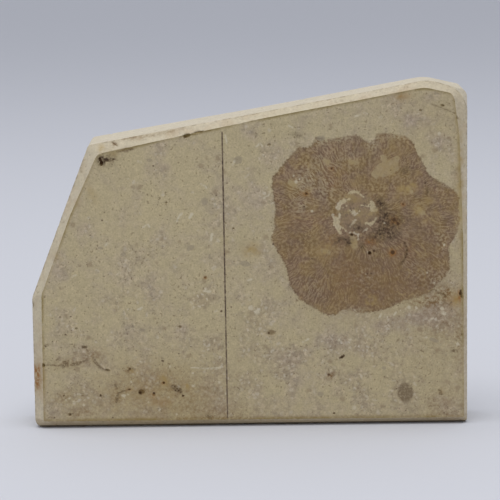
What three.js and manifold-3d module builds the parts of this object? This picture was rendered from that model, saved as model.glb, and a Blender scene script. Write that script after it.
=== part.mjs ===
// A sawn slab of sponge limestone that stands on its bottom edge, with one face polished to
// show a fossil sponge cut across. The sponge is flush with the stone: one solid, one node.
// Millimetres, +Z up, origin in the middle of the foot, polished face towards -Y.

import * as THREE from 'three';
import { mergeVertices } from 'three/addons/utils/BufferGeometryUtils.js';
import Module from 'manifold-3d';

const slabWidth = 150; // along X
const slabThickness = 24; // along Y
const rightHeight = 115.2; // where the right edge would meet the falling end of the top
const peakHeight = 119.1; // where the top edge turns down
const shoulderHeight = 98.2; // top of the sloping left edge
const slopeFootHeight = 45.7; // foot of the sloping left edge
const bevelDepth = 2.4; // how far the ground bevel runs back from the polished face
const heelDepth = 1.1; // from the bevel's ridge to where the foot touches down
const heelLift = 0.5; // how far the ridge stands above what the slab rests on
const backArris = 0.4; // width of the small arris around the sawn back
const pitOverlap = 0.05; // pits start this far in front of the face, so that they cut clean

const left = -slabWidth / 2;
const right = slabWidth / 2;
const front = -slabThickness / 2;
const back = slabThickness / 2;

// The slab's corners, seen from the front and going round anticlockwise, on four rings: the
// edge of the polished face, the ridge where the bevel ends, the heel just behind it, and the
// sawn back. Each ring gives x, z and corner radius. A corner with no heel of its own is the
// same there as on the ridge, and one with no back is the same there as on the heel.
// steps: how many straight steps draw the round, 0 for a sharp corner.
const corners = [
  {
    name: 'left foot',
    face: [left + 3.1, 2.7, 0.6],
    ridge: [left, heelLift, 2.6],
    heel: [left, 0, 2.6],
    steps: 5,
  },
  {
    name: 'right foot',
    face: [right - 1.3, 2.3, 0.7],
    ridge: [right, heelLift, 1],
    heel: [right, 0, 1],
    steps: 2,
  },
  { name: 'right side', face: [right - 1.6, 64, 0], ridge: [right, 64, 0], steps: 0 },
  { name: 'right side, high', face: [right - 2.9, 100, 0], ridge: [right, 100, 0], steps: 0 },
  {
    name: 'right shoulder',
    face: [right - 4.8, 114.4, 3.2],
    ridge: [right, rightHeight, 10],
    heel: [right, rightHeight + 0.1, 3],
    back: [right, rightHeight + 0.9, 2.5],
    steps: 9,
  },
  { name: 'peak', face: [60.2, 116.6, 11], ridge: [61.8, peakHeight, 15], steps: 4 },
  { name: 'top, rising', face: [4.4, 106.6, 0], ridge: [2, 108.2, 0], back: [2, 108.5, 0], steps: 0 },
  {
    name: 'top, flatter',
    face: [-15.6, 102.6, 0],
    ridge: [-16, 105.1, 0],
    back: [-19, 105.1, 0],
    steps: 0,
  },
  {
    name: 'left shoulder',
    face: [-51.4, 95.3, 1],
    ridge: [-54.5, shoulderHeight, 1.8],
    back: [-54.5, shoulderHeight + 1, 1.8],
    steps: 4,
  },
  { name: 'slope', face: [-61.2, 74.2, 0], ridge: [-64, 74.2, 0], steps: 0 },
  { name: 'slope foot', face: [left + 3.4, 47, 4], ridge: [left, slopeFootHeight, 6], steps: 4 },
];

// Pits in the polished face: place of the middle, size, depth and turn from level in degrees.
const pits = [
  { x: -38.0, z: 12.3, wide: 2.6, tall: 2.4, deep: 1.0 },
  { x: -29.9, z: 15.4, wide: 1.0, tall: 0.9, deep: 0.4 },
  { x: -33.5, z: 11.6, wide: 0.9, tall: 1.6, deep: 0.5, turn: 10 },
  { x: -42.6, z: 13.2, wide: 1.3, tall: 0.8, deep: 0.4, turn: 15 },
  { x: -49.1, z: 20.2, wide: 1.9, tall: 0.7, deep: 0.4, turn: -20 },
  { x: -57.2, z: 28.4, wide: 1.8, tall: 1.2, deep: 0.5, turn: 25 },
  { x: -24.1, z: 35.3, wide: 1.2, tall: 1.1, deep: 0.5 },
  { x: -15.2, z: 52.3, wide: 1.0, tall: 0.9, deep: 0.4 },
  { x: -64.7, z: 11.6, wide: 1.0, tall: 0.8, deep: 0.4 },
  { x: -62.7, z: 4.6, wide: 1.9, tall: 1.2, deep: 0.5, turn: -35 },
  { x: -53.1, z: 10.8, wide: 0.8, tall: 1.3, deep: 0.4 },
  { x: -23.6, z: 10.8, wide: 1.1, tall: 0.9, deep: 0.4 },
  { x: -59.8, z: 35.1, wide: 0.9, tall: 0.9, deep: 0.4 },
  { x: 31.6, z: 23.8, wide: 1.6, tall: 0.7, deep: 0.4, turn: 30 },
  { x: 28.7, z: 4.2, wide: 1.2, tall: 0.9, deep: 0.4 },
  { x: 7.3, z: 97.8, wide: 1.2, tall: 0.8, deep: 0.4, turn: 20 },
  { x: -28.1, z: 78.4, wide: 0.8, tall: 0.9, deep: 0.4 },
  { x: -5.3, z: 69.2, wide: 0.9, tall: 0.8, deep: 0.4 },
  { x: 66.4, z: 110.4, wide: 1.5, tall: 0.8, deep: 0.5, turn: -15 },
  { x: 58.9, z: 108.8, wide: 1.0, tall: 0.7, deep: 0.4 },
  { x: 71.4, z: 106.1, wide: 0.9, tall: 0.9, deep: 0.5 },
  { x: 41.4, z: 60.1, wide: 1.4, tall: 1.1, deep: 0.5, turn: 30 },
  { x: 49.3, z: 60.2, wide: 1.2, tall: 1.0, deep: 0.4 },
  { x: 35.3, z: 66.2, wide: 1.6, tall: 0.9, deep: 0.4 },
  { x: 19.9, z: 80.7, wide: 1.1, tall: 1.0, deep: 0.4 },
  { x: 71.9, z: 46.2, wide: 1.2, tall: 1.6, deep: 0.5 },
];

// Chips broken out of the edge between the face and the bevel. back is how far behind the
// face the middle of the chip lies.
const chips = [
  { x: -50.6, z: 93.2, wide: 1.9, tall: 3.6, deep: 0.9, turn: 25, back: 0 },
  { x: -47.4, z: 93.9, wide: 2.4, tall: 1.6, deep: 0.4, turn: 10, back: 0 },
  { x: -20.4, z: 101.6, wide: 3.4, tall: 1.7, deep: 1.0, turn: 15, back: 0.2 },
  { x: -16.6, z: 102.5, wide: 3.8, tall: 0.8, deep: 0.7, turn: 12, back: 0.2 },
  { x: -45.6, z: 98.2, wide: 2.4, tall: 1.6, deep: 0.7, turn: -20, back: 1.5 },
  { x: -71.5, z: 22.2, wide: 1.2, tall: 1.8, deep: 0.6, back: 0.2 },
];

// A corner's x, z and radius on one ring.
function place(corner, ring) {
  const ringBefore = { heel: 'ridge', back: 'heel' };
  return corner[ring] ?? place(corner, ringBefore[ring]);
}

// Points of one closed outline: each corner is a point, or an arc that touches both its edges.
function outline(ring) {
  const rows = corners.map((corner) => place(corner, ring));
  const places = rows.map(([x, z]) => new THREE.Vector2(x, z));
  return corners.flatMap((corner, index) => {
    const here = places[index];
    if (corner.steps === 0) return [here];
    const inward = here.clone().sub(places.at(index - 1)).normalize();
    const outward = places[(index + 1) % places.length].clone().sub(here).normalize();
    const radius = rows[index][2];
    const turn = Math.atan2(inward.cross(outward), inward.dot(outward));
    const centre = here.clone()
      .addScaledVector(inward, -radius * Math.tan(turn / 2))
      .add(new THREE.Vector2(-inward.y, inward.x).multiplyScalar(radius));
    const startAngle = Math.atan2(-inward.x, inward.y);
    return Array.from({ length: corner.steps + 1 }, (unused, step) => {
      const angle = startAngle + (turn * step) / corner.steps;
      return new THREE.Vector2(
        centre.x + radius * Math.cos(angle),
        centre.y + radius * Math.sin(angle),
      );
    });
  });
}

// The same outline made smaller all round by the width of the back arris.
function insetOutline(points, distance) {
  return points.map((point, index) => {
    const before = point.clone().sub(points.at(index - 1)).normalize();
    const after = points[(index + 1) % points.length].clone().sub(point).normalize();
    const inward = new THREE.Vector2(-before.y - after.y, before.x + after.x).normalize();
    const halfTurn = Math.acos(Math.min(1, before.dot(after))) / 2;
    return point.clone().addScaledVector(inward, distance / Math.cos(halfTurn));
  });
}

// Closed solid through a row of matching outlines, each at its own depth, from front to back.
function loft(rings) {
  const count = rings[0].points.length;
  const positions = rings.flatMap(({ points, y }) => points.flatMap((point) => [point.x, y, point.y]));
  const triangles = [];
  for (let ring = 0; ring < rings.length - 1; ring += 1) {
    for (let point = 0; point < count; point += 1) {
      const next = (point + 1) % count;
      const near = ring * count;
      const far = near + count;
      triangles.push(near + point, far + point, near + next);
      triangles.push(near + next, far + point, far + next);
    }
  }
  const lastRing = (rings.length - 1) * count;
  for (const [a, b, c] of THREE.ShapeUtils.triangulateShape(rings[0].points, [])) {
    triangles.push(a, b, c);
  }
  for (const [a, b, c] of THREE.ShapeUtils.triangulateShape(rings.at(-1).points, [])) {
    triangles.push(lastRing + a, lastRing + c, lastRing + b);
  }
  const geometry = new THREE.BufferGeometry();
  geometry.setAttribute('position', new THREE.Float32BufferAttribute(positions, 3));
  geometry.setIndex(triangles);
  return geometry;
}

// A shallow egg-shaped hollow to cut away.
function hollow({ x, z, wide, tall, deep, turn = 0, back: setBack = -pitOverlap }) {
  const geometry = new THREE.IcosahedronGeometry(1, 1);
  geometry.scale(wide / 2, deep, tall / 2);
  geometry.rotateY(THREE.MathUtils.degToRad(-turn));
  geometry.translate(x, front + setBack, z);
  return geometry;
}

const wasm = await Module();
wasm.setup();

function solidFrom(geometry) {
  const bare = geometry.clone();
  bare.deleteAttribute('normal');
  bare.deleteAttribute('uv');
  const merged = mergeVertices(bare);
  return new wasm.Manifold(new wasm.Mesh({
    numProp: 3,
    vertProperties: merged.attributes.position.array,
    triVerts: Uint32Array.from(merged.index.array),
  }));
}

function geometryFrom(solid) {
  const mesh = solid.getMesh();
  const geometry = new THREE.BufferGeometry();
  geometry.setAttribute('position', new THREE.BufferAttribute(mesh.vertProperties, 3));
  geometry.setIndex(new THREE.BufferAttribute(mesh.triVerts, 1));
  geometry.computeVertexNormals();
  return geometry;
}

const sawnBack = outline('back');
let slab = solidFrom(loft([
  { points: outline('face'), y: front },
  { points: outline('ridge'), y: front + bevelDepth },
  { points: outline('heel'), y: front + bevelDepth + heelDepth },
  { points: sawnBack, y: back - backArris },
  { points: insetOutline(sawnBack, backArris), y: back },
]));
for (const cut of [...pits, ...chips]) {
  slab = slab.subtract(solidFrom(hollow(cut)));
}

const limestone = new THREE.MeshStandardMaterial({ color: '#9a8f77', roughness: 0.6, metalness: 0 });
const slabMesh = new THREE.Mesh(geometryFrom(slab), limestone);
slabMesh.name = 'fossil_sponge_slab';

const fossilSponge = new THREE.Group();
fossilSponge.add(slabMesh);

export default fossilSponge;
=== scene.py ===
import math

import bpy
import numpy as np
from mathutils import Matrix, Vector, noise
from mathutils.geometry import delaunay_2d_cdt


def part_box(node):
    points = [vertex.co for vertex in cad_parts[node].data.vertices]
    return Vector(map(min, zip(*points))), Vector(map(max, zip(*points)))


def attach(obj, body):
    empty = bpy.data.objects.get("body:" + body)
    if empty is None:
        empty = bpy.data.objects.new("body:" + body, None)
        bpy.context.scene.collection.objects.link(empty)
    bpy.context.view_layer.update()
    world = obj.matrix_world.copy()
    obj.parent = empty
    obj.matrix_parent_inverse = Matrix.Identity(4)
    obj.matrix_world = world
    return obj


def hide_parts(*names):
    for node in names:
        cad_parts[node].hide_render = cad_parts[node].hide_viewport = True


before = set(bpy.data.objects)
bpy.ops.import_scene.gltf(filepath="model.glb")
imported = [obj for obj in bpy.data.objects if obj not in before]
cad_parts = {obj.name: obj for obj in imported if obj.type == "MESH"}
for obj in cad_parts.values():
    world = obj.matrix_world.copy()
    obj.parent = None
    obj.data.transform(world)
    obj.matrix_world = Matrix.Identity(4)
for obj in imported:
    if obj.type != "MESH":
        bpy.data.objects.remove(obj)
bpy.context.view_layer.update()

# A sawn slab of sponge limestone standing on its bottom edge. Every size is in millimetres
# in the dictionaries below and is turned to metres as the mesh is written.
mm = 0.001
slabNode = "fossil_sponge_slab"
low, high = (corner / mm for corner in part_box(slabNode))
rng = np.random.default_rng(11)

slabShape = {
    "bevelDepth": 2.4,  # how far the ground bevel runs back from the polished face
    "heelDepth": 1.1,  # from the bevel's ridge to where the foot touches down
    "backArris": 0.4,  # small arris round the sawn back
    "edgeStep": 0.62,  # between points along the outlines
    "faceStep": 0.58,  # between points inside the polished face
    "fineStep": 0.3,  # the same round pits and thin marks
    "fineReach": 10,  # how far the finer points reach round the sponge's hollow
    "backStep": 1.3,  # between points on the sawn back
    "wallStep": 1.9,  # between rings on the sawn edges
    "jitter": 0.13,  # share of a step by which points inside a surface stray
    # rings of points between the edges, as shares of the way from one to the next
    "bevelRings": (0, 0.08, 0.3, 0.52, 0.74, 0.92, 1),
    "heelRings": (0.3, 0.65, 1),
    # rings of points round a pit and round a grain, and where other points begin, in its radii
    "pitRings": (0.35, 0.62, 0.82, 0.95, 1.06, 1.35),
    "pitMargin": 1.45,
    "grainRings": (0.8, 1.5),
    "grainMargin": 1.9,
    # nearer to a pit than this, in its radii, a grain or a seam gets no points of its own
    "grainToPit": 2,
    "seamToPit": 1.5,
    "rimMargin": 0.15,  # nothing is placed nearer to the edge of the face
    # how the edges wander and break: lumps in mm, seed, lift and depth in mm of each noise
    "wander": [(22, 1, 0.1, 0.12), (1.5, 2, 0.1, 0.06)],
    "chipping": [(2.6, 3, -0.28, 0.35), (1.1, 4, -0.36, 0.35)],
    "heelChipping": 0.6,  # share of the chipping on the heel
    "flatChipping": 0.15,  # and on the surfaces between the edges
    "raggedness": 0.45,  # how far the outlines of pits stray from ovals
    "raggedLumps": 0.45,  # lumps of that noise, as a share of a pit's width and height together
    "chipReach": 0.5,  # how far behind the ridge a chip can still break the stone
    "sharpAngle": 28,  # degrees between faces that are shaded apart
}

# Corners seen from the front, anticlockwise: x, z and radius on the edge of the polished face,
# on the ridge where the bevel ends, on the heel just behind it and on the sawn back. A ring that
# a corner lacks is the same as the one before it. Its round is made of so many steps.
slabCorners = [
    {"face": (low.x + 3.1, 2.7, 0.6), "ridge": (low.x, 0.5, 2.6), "heel": (low.x, 0, 2.6), "steps": 8},
    {"face": (high.x - 1.3, 2.3, 0.7), "ridge": (high.x, 0.5, 1), "heel": (high.x, 0, 1), "steps": 3},
    {"face": (high.x - 1.6, 64, 0), "ridge": (high.x, 64, 0), "steps": 0},
    {"face": (high.x - 2.9, 100, 0), "ridge": (high.x, 100, 0), "steps": 0},
    {"face": (high.x - 4.8, 114.4, 3.2), "ridge": (high.x, 115.2, 10), "heel": (high.x, 115.3, 3),
     "back": (high.x, 116.1, 2.5), "steps": 18},
    {"face": (60.2, 116.6, 11), "ridge": (61.8, 119.1, 15), "steps": 10},
    {"face": (4.4, 106.6, 0), "ridge": (2, 108.2, 0), "back": (2, 108.5, 0), "steps": 0},
    {"face": (-15.6, 102.6, 0), "ridge": (-16, 105.1, 0), "back": (-19, 105.1, 0), "steps": 0},
    {"face": (-51.4, 95.3, 3.5), "ridge": (-54.5, 98.2, 1.8), "back": (-54.5, 99.2, 1.8), "steps": 5},
    {"face": (-61.2, 74.2, 0), "ridge": (-64, 74.2, 0), "steps": 0},
    {"face": (low.x + 3.4, 47, 4), "ridge": (low.x, 45.7, 6), "steps": 6},
]

# How each part of the surface was made, in the order of the numbers in the "zone" attribute.
slabZones = ["face", "bevel", "edge", "back"]

# Pits open in the polished face: x, z, width, height, depth, turn in degrees.
pits = [
    (-37.8, 12.6, 2.5, 2.2, 0.8, 0), (-30.1, 15.7, 1.1, 0.9, 0.4, 0), (-33.5, 11.5, 1, 1.6, 0.4, 10),
    (-42, 13.5, 1.2, 0.7, 0.3, 10), (-49.4, 20.4, 1.9, 0.7, 0.4, -20), (-57.1, 28.5, 1.7, 1, 0.3, 0),
    (-24.1, 35.3, 1.2, 1.1, 0.5, 0), (-15.2, 52.3, 1, 0.9, 0.4, 0), (-64.7, 11.6, 1, 0.8, 0.4, 0),
    (-62.7, 4.8, 1.4, 1.2, 0.4, -35), (-52, 11.5, 0.8, 1.1, 0.4, 0), (-23.5, 11.1, 0.9, 0.8, 0.4, 0),
    (-59.8, 35.1, 0.9, 0.9, 0.4, 0), (31.6, 23.8, 1.6, 0.7, 0.4, 30), (28.7, 4.2, 1.2, 0.9, 0.4, 0),
    (7.3, 97.8, 1.2, 0.8, 0.4, 20), (-28.1, 78.4, 0.8, 0.9, 0.4, 0), (-5.3, 69.2, 0.9, 0.8, 0.4, 0),
    (66.4, 110.4, 1.5, 0.8, 0.5, -15), (58.9, 108.8, 1, 0.7, 0.4, 0), (71.4, 106.1, 0.9, 0.9, 0.5, 0),
    (41.3, 60.1, 1.2, 1.1, 0.7, 30), (35.3, 66.4, 1.6, 0.9, 0.4, 0), (7.3, 32.8, 2.9, 2.1, 0.4, 0),
    (19.9, 80.7, 1.1, 1, 0.4, 0), (72.5, 45.6, 0.8, 2.9, 0.5, 6),
]

# Chips out of the edge between face and bevel: the same, then how far back the middle lies.
chips = [
    (-50.5, 93.7, 1.1, 1.5, 0.7, 10, 0), (-50, 92, 1.3, 1.9, 0.8, -15, 0), (-47.8, 93, 2.4, 1, 0.3, 10, 0),
    (-45.9, 93.5, 0.8, 0.7, 0.3, 0, 0), (-20.9, 101.1, 3, 1.5, 0.8, 15, 0),
    (-16.6, 102.4, 3.8, 0.5, 0.5, 12, 0.1), (-46, 98.9, 1.2, 1.3, 0.6, -20, 1.5),
    (-45.2, 98.1, 1.2, 1.1, 0.5, 0, 1.2), (-71.5, 22.4, 1, 1.5, 0.5, 0, 0.2),
]

spongeMarks = {
    "centre": (36.9, 74.2),  # the hollow that the canals run out from
    "hollowRadius": 6.9,
    "behind": {"centre": (32.9, 69.2), "scale": 0.8},  # its section on the sawn back
    "outline": [
        (23.3, 100.4), (24.6, 99.1), (28.7, 99.5), (32.4, 100.2), (37, 100.8), (39.7, 98.9), (41.5, 98),
        (43.4, 99.3), (43.8, 100.9), (48.4, 101.3), (54.3, 99.9), (56.6, 97.4), (57.5, 94.6), (59.8, 90.9),
        (61.6, 86.7), (63.9, 85.3), (67.6, 83.4), (70.8, 81.1), (72.1, 78.8), (71.7, 75.1), (72.4, 71.4),
        (71.5, 67.2), (69.8, 64), (68.5, 62.2), (68.5, 58.5), (68.9, 54.7), (67, 51.5), (64.3, 48.7),
        (62.4, 46.4), (57.4, 44.1), (52.8, 43.3), (48.1, 41), (43.5, 39.7), (38.9, 39.3), (36.3, 39.6),
        (34.2, 40.4), (31.5, 40.2), (29.8, 38.9), (26.6, 38.5), (24.1, 40), (19.5, 42.8), (17.2, 44.2),
        (15, 47.5), (13.6, 50.3), (13.2, 53.1), (12.7, 55.4), (10.9, 58.7), (9.1, 62.1), (7.8, 64.3),
        (7.8, 66.2), (8.7, 68.5), (8.6, 72.2), (9.3, 75.9), (8.6, 78.7), (8, 82.8), (8.3, 86.6),
        (10.8, 89.6), (14.1, 93.4), (17.3, 97.1), (20, 96.4), (21.9, 97.4),
    ],
    # pale calcite left in the wall of the hollow: width, then the points it follows
    "paleWall": [
        (1.7, [(30.8, 75.9), (30.9, 77), (31.6, 77.7)]), (1.8, [(31.6, 77.7), (33, 78.3)]),
        (0.9, [(33, 78.4), (34.4, 78.7)]), (0.9, [(28.9, 73.7), (29.3, 72)]),
        (0.9, [(31.2, 73.7), (30.8, 72)]), (2.3, [(30, 71.6), (30, 70.3)]),
        (1.9, [(30, 70.3), (30.5, 68.8)]), (1.1, [(30.7, 68.4), (31.2, 66.8)]),
        (0.5, [(31.4, 69.3), (33.1, 67.9), (33.9, 67.3)]),
        (0.7, [(34.2, 67.2), (35.7, 67.2), (37.3, 66.5), (37.3, 64.6)]),
        (0.9, [(34.3, 80.9), (35.8, 81.4), (37.5, 81)]), (0.5, [(37.5, 80.9), (39.8, 79)]),
        (0.7, [(38.6, 76.5), (40.8, 76.1), (41.9, 77.4)]), (0.9, [(42.5, 77.6), (43, 76)]),
        (1.5, [(42, 75.3), (43.3, 74.9)]), (2, [(42.3, 76.2)] * 2),
        (1.2, [(40.3, 70.4), (41.5, 70.1), (42.7, 70.7)]), (1.2, [(42.8, 70.7), (43.4, 71.8)]),
        (0.6, [(39, 67.5), (40.5, 68.5)]), (1.5, [(35.6, 74.5), (36.3, 73.7)]),
        (0.9, [(34.7, 74.9), (35.2, 74.4)]), (0.7, [(37.9, 74.7)] * 2), (0.6, [(37.1, 73.8)] * 2),
        (1.1, [(36.6, 71.5), (35.3, 70.2)]), (0.7, [(35.2, 70), (34.6, 69.5)]), (0.6, [(38.3, 69.8)] * 2),
        (0.6, [(32.2, 76)] * 2), (0.6, [(33.5, 76.5)] * 2),
    ],
    # wider tubes, cut lengthways, that wander across the others: width, then the points they follow
    "curl": [
        (0.5, [(57.8, 53.5), (58.2, 54.4), (59.2, 54.5), (60.3, 53.6), (60.5, 52), (59.8, 50.5)]),
        (0.5, [(59, 62.9), (60.3, 60.9), (60.5, 59.4)]), (0.5, [(54.4, 54.5), (55.1, 53), (54.4, 51.3)]),
        (0.6, [(50.6, 46.7), (52.1, 45.4), (53.6, 45.8)]), (0.5, [(54.4, 44.7), (56.1, 45.8), (57, 44.1)]),
        (0.8, [(61.5, 46.5), (63, 47.2), (64.2, 46), (63.2, 45)]),
        (0.5, [(60.1, 73.7), (62, 71.7), (64, 70.7)]), (0.5, [(69.9, 71.5), (71.2, 70.4), (70.6, 68.7)]),
        (0.5, [(56.1, 61.2), (57.8, 60), (59, 58.5)]), (0.4, [(12.8, 71.4), (16.5, 72.6), (20.4, 72)]),
        (0.4, [(15, 90.6), (18, 90.9), (20.6, 89.4)]), (0.4, [(19, 93.8), (20.4, 91.4), (21, 88.6)]),
        (0.4, [(25.6, 53.8), (26.8, 50.4), (27.2, 47.6)]),
    ],
    # lime mud that fills gaps in the sponge: width, then the points it follows
    "mudFill": [
        (4.8, [(45.4, 88.5), (49, 89.6)]), (2.2, [(46.6, 91), (46.1, 92.9)]),
        (2.2, [(50.6, 92.4), (50.3, 90.2)]), (3, [(43.6, 87.2), (46, 88.2)]),
        (2, [(14.4, 84.6), (15.6, 83.8)]), (1.6, [(26.4, 92.2), (27.4, 91.3)]),
        (1.6, [(35, 91.5), (37.2, 91.2)]), (1.6, [(54.6, 82.2), (55.6, 81.2)]),
        (1.8, [(58.2, 74.6), (59.6, 73.8)]), (2.4, [(35.6, 65), (36.2, 62.6)]),
        (1.6, [(25.4, 61.2), (27.2, 60.6)]),
    ],
}

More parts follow.
